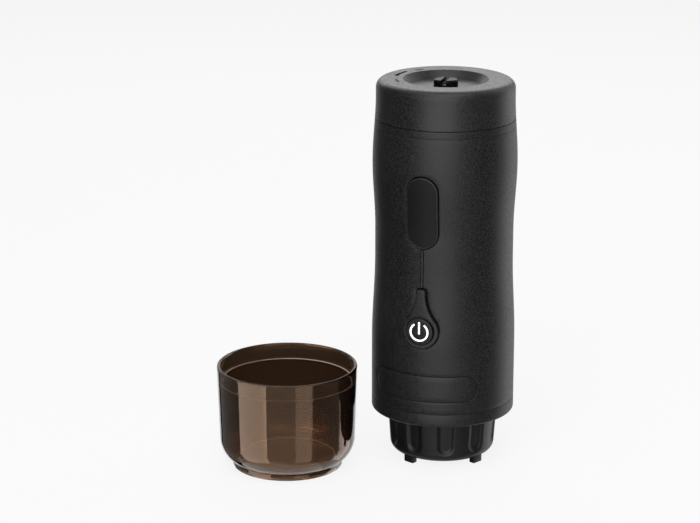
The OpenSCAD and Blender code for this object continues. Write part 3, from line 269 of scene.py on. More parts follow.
def lathe(profile, axis, steps):
    """Vertices and faces of a closed profile turned about an upright axis; profile may depend on the turn."""
    verts, faces = [], []
    for i in range(steps):
        turn = 2 * math.pi * i / steps
        points = profile(turn) if callable(profile) else profile
        verts += [(*polar(axis, r, turn), z) for r, z in points]
    count = len(points)
    for i in range(steps):
        a, b = i * count, (i + 1) % steps * count
        faces += [(a + k, b + k, b + (k + 1) % count, a + (k + 1) % count) for k in range(count)]
    return verts, faces


def band(a, b):
    """Faces between two closed loops of vertex numbers."""
    count = len(a)
    return [(a[i], a[(i + 1) % count], b[(i + 1) % count], b[i]) for i in range(count)]


def stacked(loops):
    """Vertices and faces of a solid made of loops that lie over each other."""
    verts = [point for loop in loops for point in loop]
    count = len(loops[0])
    rows = [range(first, first + count) for first in range(0, len(verts), count)]
    faces = [tuple(rows[0]), tuple(rows[-1])]
    for a, b in zip(rows, rows[1:]):
        faces += band(a, b)
    return verts, faces


def shade(mesh, crease):
    """Shades a mesh smooth up to an angle."""
    mesh.shade_smooth()
    mesh.set_sharp_from_angle(angle=math.radians(crease))


def settle(mesh, crease):
    """Merges doubles, turns the faces outwards and shades the mesh."""
    shape = bmesh.new()
    shape.from_mesh(mesh)
    bmesh.ops.remove_doubles(shape, verts=shape.verts, dist=MERGE_NEAR)
    bmesh.ops.dissolve_degenerate(shape, edges=shape.edges, dist=SLIVER)
    bmesh.ops.recalc_face_normals(shape, faces=shape.faces)
    shape.to_mesh(mesh)
    shape.free()
    shade(mesh, crease)


def put_in_scene(name, data):
    """A new object at the origin that carries a mesh or other data."""
    piece = bpy.data.objects.new(name, data)
    bpy.context.scene.collection.objects.link(piece)
    return piece


def new_piece(name, verts, faces, crease=CREASE):
    """A finished piece from vertices in millimetres."""
    mesh = bpy.data.meshes.new(name)
    mesh.from_pydata([(x * MM, y * MM, z * MM) for x, y, z in verts], [], faces)
    settle(mesh, crease)
    if not mesh.polygons:
        raise RuntimeError(f"{name} has no faces")
    return put_in_scene(name, mesh)


def coat(piece, finish_name):
    """Gives a piece one finish."""
    piece.data.materials.clear()
    piece.data.materials.append(finish(finish_name))


def dress(piece, body, finish_name, slot, *nodes):
    """Gives a piece its finish, and has it ride on a body in the place of CAD nodes."""
    coat(piece, finish_name)
    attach(piece, body)
    if nodes:
        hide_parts(*nodes)


def softened_copy(name, node, bevel):
    """A merged copy of a CAD node with its edges softened by a small bevel, in millimetres."""
    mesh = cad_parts[node].data.copy()
    mesh.name = name
    shape = bmesh.new()
    shape.from_mesh(mesh)
    bmesh.ops.remove_doubles(shape, verts=shape.verts, dist=MERGE_NEAR)
    flat = math.radians(FLAT_ANGLE)
    bmesh.ops.dissolve_limit(shape, angle_limit=flat, verts=shape.verts, edges=shape.edges)
    shape.to_mesh(mesh)
    shape.free()
    piece = put_in_scene(name, mesh)
    edge = piece.modifiers.new("Soft edges", "BEVEL")
    edge.width = bevel * MM
    edge.segments = 3
    edge.limit_method = "ANGLE"
    edge.angle_limit = math.radians(CREASE)
    make_plain(piece)
    shade(piece.data, CREASE)
    return piece


def plain_mesh(piece):
    """What a piece's curves or modifiers make, as a plain mesh."""
    graph = bpy.context.evaluated_depsgraph_get()
    return bpy.data.meshes.new_from_object(piece.evaluated_get(graph), depsgraph=graph)


def make_plain(piece):
    """Turns what a piece's modifiers make into its own mesh."""
    made = plain_mesh(piece)
    piece.modifiers.clear()
    piece.data = made


def join(piece, other):
    """Adds another piece's mesh to a piece."""
    shape = bmesh.new()
    shape.from_mesh(piece.data)
    shape.from_mesh(other.data)
    shape.to_mesh(piece.data)
    shape.free()
    bpy.data.objects.remove(other)


class Skin:
    """A mesh on the body's round surface, laid out by the way round the body and the height."""

    def __init__(self):
        self.verts = []
        self.faces = []

    def loop(self, flat, radius):
        """Puts a loop of points at a radius and gives their numbers."""
        start = len(self.verts)
        for s, z in flat:
            r, turn = radius(s, z), s / BODY_R
            self.verts.append((AXIS[0] + r * math.sin(turn), AXIS[1] - r * math.cos(turn), z))
        return range(start, len(self.verts))

    def wall(self, levels):
        """Walls between loops that lie over each other, each level a flat loop and a radius."""
        loops = [self.loop(flat, radius) for flat, radius in levels]
        for a, b in zip(loops, loops[1:]):
            self.faces += band(a, b)

    def fill(self, outline, holes, radius, spacing):
        """Fills an outline but not its holes, with points inside at a spacing."""
        clear_share, touching = 0.45, 1e-7
        loops = [outline] + holes
        points, edges = [], []
        for flat in loops:
            first, count = len(points), len(flat)
            points += flat
            edges += [(first + i, first + (i + 1) % count) for i in range(count)]
        low, high = np.min(outline, axis=0), np.max(outline, axis=0)
        across = np.arange(low[0] + spacing, high[0], spacing)
        up = np.arange(low[1] + spacing, high[1], spacing)
        grid = np.array([(s, z) for z in up for s in across])
        if len(grid):
            keep = between_loops(grid, outline, holes)
            for flat in loops:
                keep &= distance(grid, flat) > spacing * clear_share
            points += [tuple(p) for p in grid[keep]]
        spots, _, faces, _, _, _ = delaunay_2d_cdt([Vector(p) for p in points], edges, [], 0, touching)
        flat = [(p.x, p.y) for p in spots]
        centres = np.array([np.mean([flat[i] for i in face], axis=0) for face in faces])
        keep = between_loops(centres, outline, holes)
        first = self.loop(flat, radius)[0]
        self.faces += [tuple(first + i for i in face) for face, kept in zip(faces, keep) if kept]

    def piece(self, name):
        """The finished piece."""
        return new_piece(name, self.verts, self.faces)


def inside(points, loop):
    """Which points lie inside a closed loop."""
    x, y = points[:, 0], points[:, 1]
    result = np.zeros(len(points), dtype=bool)
    for (ax, ay), (bx, by) in zip(loop, loop[1:] + loop[:1]):
        if ay != by:
            result ^= ((ay > y) != (by > y)) & (x < (bx - ax) * (y - ay) / (by - ay) + ax)
    return result


def between_loops(points, outline, holes):
    """Which points lie inside an outline but in none of its holes."""
    result = inside(points, outline)
    for hole in holes:
        result &= ~inside(points, hole)
    return result


def distance(points, loop):
    """How far points lie from a closed loop."""
    least = 1e-12
    best = np.full(len(points), np.inf)
    for a, b in zip(np.array(loop), np.array(loop[1:] + loop[:1])):
        run = b - a
        share = np.clip((points - a) @ run / max(run @ run, least), 0, 1)
        best = np.minimum(best, np.linalg.norm(points - a - share[:, None] * run, axis=1))
    return best


def lifted(lift):
    """Radius that follows the body's surface at a lift."""
    return lambda s, z: body_radius(z) + lift


def fixed(r):
    """Radius that is the same everywhere."""
    return lambda s, z: r


def soft_edge(outline, edge, top, steps):
    """Levels over a soft edge, each step as how far it lies in from the edge and below the top."""
    return [(outline(edge - inwards), lifted(top - down)) for inwards, down in steps]


def from_front(points, z0):
    """Front view points, laid on the body."""
    return [(BODY_R * math.asin(x / body_radius(z0 + z)), z0 + z) for x, z in points]


def split(points, step):
    """A closed loop with points added so that none lie further apart than a step."""
    out = []
    for a, b in zip(points, points[1:] + points[:1]):
        parts = max(1, math.ceil(math.dist(a, b) / step))
        out += [(a[0] + (b[0] - a[0]) * i / parts, a[1] + (b[1] - a[1]) * i / parts) for i in range(parts)]
    return out


def pill(width, height, grow, steps=20, side=14):
    """Closed outline of an upright pill."""
    r, run = width / 2 + grow, (height - width) / 2
    right = [(r, -run + 2 * run * i / side) for i in range(1, side)]
    left = [(-x, -z) for x, z in right]
    return arc((0, -run), r, -180, 0, steps) + right + arc((0, run), r, 0, 180, steps) + left


def window_outline(grow):
    """The display window's outline, laid on the body."""
    return from_front(pill(WINDOW_W, WINDOW_H, grow), WINDOW_Z)


def bezel_outline(grow):
    """The button bezel's drop-shaped outline, laid on the body."""
    r, w, b, t = BEZEL_R + grow, BEZEL_TIP_W + grow, BEZEL_BLEND_R - grow, BEZEL_TIP_R + grow
    across = w + b
    up = math.sqrt((r + b) ** 2 - across ** 2)
    lean = math.degrees(math.atan2(up, across))
    half = arc((0, 0), r, -90, lean, steps=40)
    half += arc((across, up), b, 180 + lean, 180, steps=16)[1:]
    half += arc((w - t, BEZEL_TIP + grow - t), t, 0, 90, steps=8)
    mirrored = [(-x, z) for x, z in reversed(half[1:])]
    return from_front(half + mirrored, BUTTON_Z)


def button_outline(grow):
    """The button's round hole, laid on the body."""
    return from_front(arc((0, 0), BUTTON_HOLE_R + grow, 0, 360, steps=72)[:-1], BUTTON_Z)


def plate_outline(grow):
    """The name plate's lying pill, laid on the body."""
    run = BODY_R * math.radians(PLATE_ANGLE) - PLATE_H / 2
    r = PLATE_H / 2 + grow
    along = 40
    low = [(-run + 2 * run * i / along, -r) for i in range(1, along)]
    high = [(-x, -z) for x, z in low]
    points = low + arc((run, 0), r, -90, 90, steps=20) + high + arc((-run, 0), r, 90, 270, steps=20)
    return [(s, PLATE_Z + z) for s, z in points]


def line_outline(grow):
    """The raised line from the bezel's point to the window, laid on the body."""
    half, along = sizes().line_width / MM / 2 + grow, 24
    low = BUTTON_Z + BEZEL_TIP + LINE_SHORT
    high = WINDOW_Z - WINDOW_H / 2 - LINE_SHORT
    right = [(half, low + (high - low) * i / along) for i in range(along + 1)]
    return right + [(-s, z) for s, z in reversed(right)]


def flap_outline(grow):
    """The recess of the charging flap at the back, laid on the body."""
    half, centre = (FLAP_HIGH - FLAP_LOW) / 2, PORT_Z + (FLAP_HIGH + FLAP_LOW) / 2
    wide, tall, step = 1 + grow / FLAP_HALF, 1 + grow / half, 1.2
    return [(BACK + BODY_R * math.asin(x * wide / body_radius(PORT_Z)), centre + z * tall)
            for x, z in split(rounded_box(FLAP_HALF, half, FLAP_CORNER_R, steps=4), step)]


def flap_seat(s, z):
    """Radius of the flat seat behind the charging flap."""
    return FLAP_SEAT / math.cos((s - BACK) / BODY_R)


def socket_outline():
    """The slot for the charging socket in that seat, laid on the body."""
    upright = pill(SOCKET_H, SOCKET_W, 0.0, steps=12, side=6)
    return [(BACK + BODY_R * math.asin(z / FLAP_SEAT), PORT_Z + x) for x, z in upright]


# Finishes

def link(tree, *pairs):
    """Joins outputs to inputs in a node tree."""
    for source, goal in pairs:
        tree.links.new(source, goal)


def set_inputs(node, values):
    """Sets constants on a node's own sockets."""
    for label, value in values.items():
        node.inputs[label].default_value = value


def math_node(tree, operation):
    """A node that works out one value."""
    made = tree.nodes.new("ShaderNodeMath")
    made.operation = operation
    return made


def new_finish(name):
    """A material with its tree and its main shader."""
    made = bpy.data.materials.new(name)
    made.use_nodes = True
    return made, made.node_tree, made.node_tree.nodes["Principled BSDF"]


def object_place(tree, stretch=(1.0, 1.0, 1.0)):
    """Object coordinates, stretched for brushed or turned patterns."""
    place = tree.nodes.new("ShaderNodeTexCoord")
    turn = tree.nodes.new("ShaderNodeMapping")
    turn.inputs["Scale"].default_value = stretch
    link(tree, (place.outputs["Object"], turn.inputs["Vector"]))
    return turn.outputs["Vector"]


def noise(tree, place, size, detail=2.0):
    """Noise with spots of a size in millimetres."""
    made = tree.nodes.new("ShaderNodeTexNoise")
    set_inputs(made, {"Scale": 1 / (size * MM), "Detail": detail})
    link(tree, (place, made.inputs["Vector"]))
    return made.outputs["Fac"]


def mapped(tree, value, low, high, start=NOISE_LOW, end=NOISE_HIGH):
    """A value moved from one range to another."""
    made = tree.nodes.new("ShaderNodeMapRange")
    set_inputs(made, {"From Min": start, "From Max": end, "To Min": low, "To Max": high})
    link(tree, (value, made.inputs["Value"]))
    return made.outputs["Result"]


def blend(tree, a, b, share):
    """Mean of two values, with the share of the second."""
    first = math_node(tree, "MULTIPLY")
    first.inputs[1].default_value = 1 - share
    second = math_node(tree, "MULTIPLY_ADD")
    second.inputs[1].default_value = share
    link(tree, (a, first.inputs[0]), (b, second.inputs[0]), (first.outputs[0], second.inputs[2]))
    return second.outputs[0]


def ramp(tree, value, dark, bright):
    """A colour between two by a noise."""
    made = tree.nodes.new("ShaderNodeValToRGB")
    for point, at, tint in zip(made.color_ramp.elements, (NOISE_LOW, NOISE_HIGH), (dark, bright)):
        point.position = at
        point.color = (*tint, 1.0)
    link(tree, (value, made.inputs["Fac"]))
    return made.outputs["Color"]


def bumped(tree, shader, value, strength, depth):
    """Raises a surface by a value, depth in millimetres."""
    made = tree.nodes.new("ShaderNodeBump")
    set_inputs(made, {"Strength": strength, "Distance": depth * MM})
    link(tree, (value, made.inputs["Height"]), (made.outputs["Normal"], shader.inputs["Normal"]))


def mixed(tree, share, first, second):
    """A shader between two, with the share of the second."""
    made = tree.nodes.new("ShaderNodeMixShader")
    link(tree, (share, made.inputs[0]), (first.outputs[0], made.inputs[1]),
         (second.outputs[0], made.inputs[2]))
    return made.outputs[0]


def toned(tint, factor):
    """A colour made lighter or darker."""
    return tuple(min(1.0, v * factor) for v in tint)


def grained(name, tint, rough, spread, grain, bump, broad, speckle=0.5, tone=0.25, metal=0.0, level=0.5,
            stretch=(1.0, 1.0, 1.0), coating=0.0):
    """A grained finish with broad, faint changes of tone; tint is a colour or a colour property's name."""
    grain_depth, coating_rough = 0.06, 0.08
    made, tree, shader = new_finish(name)
    base = getattr(colours(), tint) if isinstance(tint, str) else tint
    place = object_place(tree, stretch)
    fine = noise(tree, place, grain)
    both = blend(tree, noise(tree, place, broad), fine, speckle)
    link(tree, (ramp(tree, both, toned(base, 1 - tone), toned(base, 1 + tone)), shader.inputs["Base Color"]),
         (mapped(tree, fine, rough - spread, rough + spread), shader.inputs["Roughness"]))
    bumped(tree, shader, fine, bump, grain_depth)
    set_inputs(shader, {"Metallic": metal, "Specular IOR Level": level, "Coat Weight": coating,
                        "Coat Roughness": coating_rough})
    return made


def clear_brown(name):
    """The cup's clear brown plastic, with a painted highlight on its moulded inner edges, where a pale brown
    diffuse line stands in for their glint.
    """
    made, tree, shader = new_finish(name)
    waves = noise(tree, object_place(tree), size=6.0, detail=1.0)
    link(tree, (mapped(tree, waves, low=0.02, high=0.05), shader.inputs["Roughness"]))
    bumped(tree, shader, waves, strength=0.05, depth=0.03)
    # The brown specular tint is painted reflection colour: it gives the lamps' reflections the brown of light
    # that has passed through the plastic.
    set_inputs(shader, {"Base Color": (0.98, 0.965, 0.95, 1.0), "Transmission Weight": 1.0, "IOR": 1.6,
                        "Specular Tint": (1.0, 0.67, 0.46, 1.0)})
    depth = tree.nodes.new("ShaderNodeVolumeAbsorption")
    left = [1 - taken for taken in colours().cup_depth]
    set_inputs(depth, {"Color": (*left, 1.0), "Density": 700.0})
    # Painted highlight: on the marked moulded edges a pale brown diffuse shader is mixed in to stand in for
    # their glint.
    edge = tree.nodes.new("ShaderNodeAttribute")
    edge.attribute_name = "moulded_edge"
    painted_glint = tree.nodes.new("ShaderNodeBsdfDiffuse")
    painted_glint.inputs["Color"].default_value = (0.9, 0.68, 0.52, 1.0)
    share = mapped(tree, edge.outputs["Fac"], low=0.0, high=0.85, start=0.2, end=0.8)
    end = tree.nodes["Material Output"]
    link(tree, (depth.outputs["Volume"], end.inputs["Volume"]),
         (mixed(tree, share, shader, painted_glint), end.inputs["Surface"]))
    return made


def lit_mark(name):
    """The lit power mark, a little uneven as light through plastic is."""
    made, tree, shader = new_finish(name)
    glow = noise(tree, object_place(tree), size=3.0)
    white = colours().mark
    link(tree, (ramp(tree, glow, toned(white, 0.93), white), shader.inputs["Emission Color"]),
         (mapped(tree, glow, low=0.3, high=0.4), shader.inputs["Roughness"]))
    set_inputs(shader, {"Base Color": (0.8, 0.8, 0.8, 1.0), "Emission Strength": 0.4})
    return made


def board_lacquer(name):
    """Green lacquer with copper tracks under it."""
    made, tree, shader = new_finish(name)
    place = object_place(tree)
    green = colours().board
    tracks = tree.nodes.new("ShaderNodeTexBrick")
    set_inputs(tracks, {"Scale": 180.0, "Mortar Size": 0.06, "Color1": (*green, 1.0),
                        "Color2": (*toned(green, 1.3), 1.0), "Mortar": (*toned(green, 2.2), 1.0)})
    turn = tree.nodes.new("ShaderNodeMapping")
    turn.inputs["Rotation"].default_value = (math.radians(90), 0.0, 0.0)
    gloss = mapped(tree, noise(tree, place, size=1.5), low=0.25, high=0.4)
    link(tree, (place, turn.inputs["Vector"]), (turn.outputs["Vector"], tracks.inputs["Vector"]),
         (tracks.outputs["Color"], shader.inputs["Base Color"]), (gloss, shader.inputs["Roughness"]))
    bumped(tree, shader, tracks.outputs["Fac"], strength=0.2, depth=0.03)
    return made


# Finishes made apart, and the settings of the grained ones
MADE_APART = {"lit_mark": lit_mark, "clear_brown": clear_brown, "board_green": board_lacquer}
GRAINED = {
    "shell_black": dict(tint="shell", rough=0.44, spread=0.1, grain=0.7, bump=0.75, broad=14.0, speckle=0.9,
                        tone=0.95, level=0.16),
    "lid_black": dict(tint="shell", rough=0.42, spread=0.1, grain=0.7, bump=0.75, broad=14.0, speckle=0.9,
                      tone=0.95, level=0.185),
    "satin_black": dict(tint="satin", rough=0.42, spread=0.06, grain=0.6, bump=0.5, broad=8.0, speckle=0.7,
                        tone=0.6, level=0.16),
    "window_black": dict(tint="window", rough=0.46, spread=0.03, grain=0.8, bump=0.05, broad=20.0,
                         speckle=0.3, tone=0.2, level=0.07),
    "mark_dark": dict(tint=(0.004, 0.004, 0.004), rough=0.8, spread=0.05, grain=0.3, bump=0.1, broad=4.0,
                      level=0.0),
    "knob_black": dict(tint="satin", rough=0.16, spread=0.03, grain=0.6, bump=0.05, broad=6.0, speckle=0.4,
                       tone=0.2, level=0.02),
    "black_rubber": dict(tint=(0.012, 0.012, 0.012), rough=0.7, spread=0.08, grain=0.4, bump=0.3, broad=5.0,
                         level=0.2),
    "grey_silicone": dict(tint=(0.33, 0.32, 0.3), rough=0.55, spread=0.06, grain=0.6, bump=0.15, broad=6.0,
                          tone=0.1),
    "tank_alloy": dict(tint=(0.62, 0.63, 0.65), rough=0.34, spread=0.07, grain=0.35, bump=0.2, broad=12.0,
                       tone=0.1, metal=1.0, stretch=(1.0, 1.0, 6.0)),
    "steel": dict(tint=(0.55, 0.55, 0.56), rough=0.28, spread=0.06, grain=0.4, bump=0.15, broad=6.0,
                  tone=0.12, metal=1.0),
    "brass": dict(tint=(0.72, 0.52, 0.22), rough=0.3, spread=0.06, grain=0.4, bump=0.15, broad=6.0,
                  tone=0.15, metal=1.0),
    "copper_coil": dict(tint=(0.66, 0.26, 0.11), rough=0.3, spread=0.08, grain=0.5, bump=0.1, broad=3.0,
                        tone=0.2, metal=1.0),
    "frame_grey": dict(tint=(0.085, 0.085, 0.09), rough=0.5, spread=0.07, grain=0.5, bump=0.25, broad=9.0,
                       tone=0.2),
    "fitting_white": dict(tint=(0.72, 0.7, 0.65), rough=0.42, spread=0.06, grain=0.7, bump=0.12, broad=8.0,
                          tone=0.06),
    "chip_black": dict(tint=(0.02, 0.02, 0.022), rough=0.5, spread=0.06, grain=0.3, bump=0.15, broad=3.0),
    "cell_wrap": dict(tint="cell", rough=0.3, spread=0.05, grain=2.0, bump=0.05, broad=12.0, speckle=0.3,
                      tone=0.12, coating=0.3),
    "lead_red": dict(tint=(0.42, 0.025, 0.015), rough=0.4, spread=0.06, grain=0.5, bump=0.1, broad=4.0,
                     tone=0.15),
    "lead_black": dict(tint=(0.013, 0.013, 0.013), rough=0.4, spread=0.06, grain=0.5, bump=0.1, broad=4.0),
}


def finish(name):
    """A finish by its name, made once."""
    full = name + "_finish"
    if full in bpy.data.materials:
        return bpy.data.materials[full]
    if name in MADE_APART:
        return MADE_APART[name](full)
    return grained(full, **GRAINED[name])


# Geometry Nodes trees

def new_tree(name, sockets):
    """A tree with named inputs and a geometry output."""
    tree = bpy.data.node_groups.new(name, "GeometryNodeTree")
    for label, kind in sockets:
        tree.interface.new_socket(name=label, in_out="INPUT", socket_type="NodeSocket" + kind)
    tree.interface.new_socket(name="Geometry", in_out="OUTPUT", socket_type="NodeSocketGeometry")
    return tree, tree.nodes.new("NodeGroupInput"), tree.nodes.new("NodeGroupOutput")


def end_tree(tree, source, start, end):
    """Moves what a tree makes to its place, and ends the tree in Realize Instances and Set Material."""
    move = tree.nodes.new("GeometryNodeTransform")
    whole = tree.nodes.new("GeometryNodeRealizeInstances")
    paint = tree.nodes.new("GeometryNodeSetMaterial")
    link(tree, (source, move.inputs["Geometry"]), (start.outputs["Place"], move.inputs["Translation"]),
         (move.outputs["Geometry"], whole.inputs["Geometry"]),
         (whole.outputs["Geometry"], paint.inputs["Geometry"]),
         (start.outputs["Finish"], paint.inputs["Material"]),
         (paint.outputs["Geometry"], end.inputs["Geometry"]))
    return move


def wire_tree(name):
    """A tree that winds a wire of round section up a helix."""
    section_sides = 8
    tree, start, end = new_tree(name, (
        ("Turns", "Float"), ("Steps", "Int"), ("Radius", "Float"), ("Height", "Float"), ("Wire", "Float"),
        ("First angle", "Float"), ("Place", "Vector"), ("Finish", "Material")))
    helix = tree.nodes.new("GeometryNodeCurveSpiral")
    helix.inputs["Reverse"].default_value = True
    section = tree.nodes.new("GeometryNodeCurvePrimitiveCircle")
    section.inputs["Resolution"].default_value = section_sides
    tube = tree.nodes.new("GeometryNodeCurveToMesh")
    tube.inputs["Fill Caps"].default_value = True
    turn = tree.nodes.new("ShaderNodeCombineXYZ")
    wires = (("Turns", helix, "Rotations"), ("Steps", helix, "Resolution"), ("Radius", helix, "Start Radius"),
             ("Radius", helix, "End Radius"), ("Height", helix, "Height"), ("Wire", section, "Radius"),
             ("First angle", turn, "Z"))
    for label, to, socket in wires:
        tree.links.new(start.outputs[label], to.inputs[socket])
    move = end_tree(tree, tube.outputs["Mesh"], start, end)
    link(tree, (helix.outputs["Curve"], tube.inputs["Curve"]),
         (section.outputs["Curve"], tube.inputs["Profile Curve"]),
         (turn.outputs["Vector"], move.inputs["Rotation"]))
    return tree


def ring_tree(name):
    """A tree that repeats its own mesh round an upright axis."""
    tree, start, end = new_tree(name, (
        ("Geometry", "Geometry"), ("Count", "Int"), ("Radius", "Float"), ("First angle", "Float"),
        ("Step angle", "Float"), ("Place", "Vector"), ("Finish", "Material")))
    spots = tree.nodes.new("GeometryNodePoints")
    number = tree.nodes.new("GeometryNodeInputIndex")
    angle = math_node(tree, "MULTIPLY_ADD")
    turn = tree.nodes.new("ShaderNodeCombineXYZ")
    out = tree.nodes.new("ShaderNodeCombineXYZ")
    place = tree.nodes.new("ShaderNodeVectorRotate")
    place.rotation_type = "Z_AXIS"
    copies = tree.nodes.new("GeometryNodeInstanceOnPoints")
    link(tree, (start.outputs["Count"], spots.inputs["Count"]), (number.outputs[0], angle.inputs[0]),
         (start.outputs["Step angle"], angle.inputs[1]), (start.outputs["First angle"], angle.inputs[2]),
         (angle.outputs[0], turn.inputs["Z"]), (start.outputs["Radius"], out.inputs["X"]),
         (out.outputs[0], place.inputs["Vector"]), (angle.outputs[0], place.inputs["Angle"]),
         (place.outputs[0], spots.inputs["Position"]), (spots.outputs[0], copies.inputs["Points"]),
         (start.outputs["Geometry"], copies.inputs["Instance"]), (turn.outputs[0], copies.inputs["Rotation"]))
    end_tree(tree, copies.outputs[0], start, end)
    return tree


TREES = {"Wound wire": wire_tree, "Ring of copies": ring_tree}


def grow(piece, tree_name, values, crease):
    """Runs a tree on a piece with the given inputs and keeps the result as its plain mesh."""
    tree = bpy.data.node_groups.get(tree_name) or TREES[tree_name](tree_name)
    modifier = piece.modifiers.new("Grown", "NODES")
    modifier.node_group = tree
    keys = {item.name: item.identifier for item in tree.interface.items_tree if item.in_out == "INPUT"}
    for label, value in values.items():
        modifier[keys[label]] = value
    make_plain(piece)
    if not piece.data.polygons:
        raise RuntimeError(f"{piece.name} came out empty")
    settle(piece.data, crease)
    return piece


def wound(name, low, high, r, finish_name):
    """A screw thread wound up inside a bore, half a turn from the thread it meets, in millimetres."""
    piece = put_in_scene(name, bpy.data.meshes.new(name))
    first = 2 * math.pi * low / SCREW_LEAD - math.pi / 2
    return grow(piece, "Wound wire", {
        "Turns": (high - low) / SCREW_LEAD, "Steps": THREAD_STEPS, "Radius": r * MM,
        "Height": (high - low) * MM, "Wire": THREAD_R * MM, "First angle": first % (2 * math.pi),
        "Place": (AXIS[0] * MM, AXIS[1] * MM, low * MM), "Finish": finish(finish_name)}, crease=60)


def ringed(piece, count, r, first, z, finish_name):
    """A piece repeated at even steps round the machine's axis, the first at an angle in degrees."""
    return grow(piece, "Ring of copies", {
        "Count": count, "Radius": r * MM, "First angle": math.radians(first),
        "Step angle": math.radians(360.0 / count), "Place": (AXIS[0] * MM, AXIS[1] * MM, z * MM),
        "Finish": finish(finish_name)}, crease=40)


# Operators

class MACHINE_OT_tank_lid(Operator):
    """Builds the screw-on tank lid with its dish and the thread in its bore"""
    bl_idname = "machine.tank_lid"
    bl_label = "Tank lid"

    def execute(self, context):
        edge = sizes().edge_round / MM
        dish_r, dish_floor_r, hole_r = 21.2, 17.3, 2.5
        dish_z, under = LID_TOP - 4.0, LID_TOP - 6.1
        side_low, side_high = LID_Z + 1.0, LID_TOP - LID_CORNER_R - 0.6
        thread_low, thread_high = LID_Z + 1.3, under - 2.6
        side = [(body_radius(z), z) for z in np.linspace(side_low, side_high, 9)]
        crown = arc((CROWN_R - LID_CORNER_R, LID_TOP - LID_CORNER_R), LID_CORNER_R, 4, 90, steps=14)
        corners = [(body_radius(LID_Z), LID_Z, edge)] + plain(side + crown)
        corners += [(dish_r, LID_TOP, 0.35), (dish_floor_r, dish_z, 0.7), (hole_r, dish_z, 0.2),
                    (hole_r, under, 0.2), (NECK_BORE_R, under, 0.8), (NECK_BORE_R, LID_Z, edge)]
        piece = new_piece("tank_lid_shell", *lathe(rounded(corners), AXIS, sizes().round_steps))
        join(piece, wound("lid_thread", thread_low, thread_high, NECK_BORE_R, "lid_black"))
        dress(piece, "lid", "lid_black", "shell_black", "tank_lid")
        return {"FINISHED"}


class MACHINE_OT_lid_marks(Operator):
    """Puts the turning arrow and the generic words on the lid"""
    bl_idname = "machine.lid_marks"
    bl_label = "Lid marks"
    arrow_r, word_r, root = 25.2, 25.4, 0.1

    def execute(self, context):
        high = sizes().mark_height / MM
        marks = self.arrow(159.0, 187.0, high)
        for word, angle in (("OPEN", 141.0), ("CLOSE", 213.0)):
            join(marks, self.word(word, angle, high))
        dress(marks, "lid", "mark_dark", "shell_black")
        return {"FINISHED"}

    def arrow(self, start, end, high):
        """A curved arrow of flat section, angles in degrees."""
        r, half, head, tip = self.arrow_r, 0.7, 1.6, 6.0
        turns = np.radians(np.linspace(start, end - tip, 24))
        outline = [(r + half, turn) for turn in turns]
        outline += [(r + head, turns[-1]), (r, math.radians(end)), (r - head, turns[-1])]
        outline += [(r - half, turn) for turn in turns[::-1]]
        levels = (LID_TOP - self.root, LID_TOP + high)
        loops = [[(*polar(AXIS, *spot), z) for spot in outline] for z in levels]
        return new_piece("lid_marks", *stacked(loops))

    def word(self, text, angle, high):
        """A word bent round the lid, read from outside."""
        line = bpy.data.curves.new(text, "FONT")
        line.body = text
        line.size = sizes().letter_size / MM
        line.align_x = "CENTER"
        line.extrude = (high + self.root) / 2
        line.resolution_u = 3
        letters = put_in_scene(text, line)
        mesh = plain_mesh(letters)
        bpy.data.objects.remove(letters)
        for v in mesh.vertices:
            turn = math.radians(angle) + v.co.x / self.word_r
            v.co = (*polar(AXIS, self.word_r - v.co.y, turn), LID_TOP + (high - self.root) / 2 + v.co.z)
        mesh.transform(Matrix.Scale(MM, 4))
        settle(mesh, crease=30)
        return put_in_scene(text, mesh)


class MACHINE_OT_vent(Operator):
    """Softens the edges of the slotted vent cap, squares its top and turns its slot"""
    bl_idname = "machine.vent"
    bl_label = "Vent cap"
    turn = -16.0

    def execute(self, context):
        knob = softened_copy("vent_knob", "vent_cap", bevel=0.25)
        self.square_top(knob.data)
        centre = Matrix.Translation((AXIS[0] * MM, AXIS[1] * MM, 0.0))
        knob.data.transform(centre @ Matrix.Rotation(math.radians(self.turn), 4, "Z") @ centre.inverted())
        dress(knob, "lid", "knob_black", "gloss_black", "vent_cap")
        return {"FINISHED"}

    def square_top(self, mesh):
        """Turns the dome on the knob into a flat top with a rounded edge, over a shallower slot."""
        r, dome, top = 6.0, 1.3, LID_TOP - 0.3
        edge, squareness, lift, thin = 0.9, 8, 0.25, 0.05
        slot_floor, slot_lift, near = top - 2.6, 0.6, 0.3
        low = top - dome
        for v in mesh.vertices:
            x, y, z = v.co / MM
            out = min(math.hypot(x - AXIS[0], y - AXIS[1]) / r, 1.0)
            depth = dome * math.sqrt(1.0 - out ** 2)
            if abs(z - slot_floor) < near:
                v.co.z += slot_lift * MM
            elif z > low and depth > thin:
                flat = dome + lift - edge * (1.0 - math.sqrt(1.0 - out ** squareness))
                v.co.z = (low + (z - low) / depth * flat) * MM


class MACHINE_OT_collar(Operator):
    """Builds the collar ring between lid and shell, with a low lip behind their joint line"""
    bl_idname = "machine.collar"
    bl_label = "Collar ring"

    def execute(self, context):
        edge = sizes().edge_round / MM
        foot, lip_r, lip_top = SHELL_TOP + COLLAR_GAP, NECK_BORE_R + 0.9, COLLAR_TOP + 0.24
        corners = [(body_radius(foot), foot, edge), (body_radius(COLLAR_TOP), COLLAR_TOP, edge),
                   (lip_r, COLLAR_TOP, 0.0), (lip_r, lip_top, 0.06), (NECK_BORE_R, lip_top, 0.1),
                   (NECK_BORE_R, COLLAR_LOW, 0.2), (LIP_OUT_R, COLLAR_LOW, 0.2), (LIP_OUT_R, foot, 0.0)]
        piece = new_piece("collar_band", *lathe(rounded(corners), AXIS, sizes().round_steps))
        dress(piece, "machine", "shell_black", "shell_black", "collar_ring")
        return {"FINISHED"}


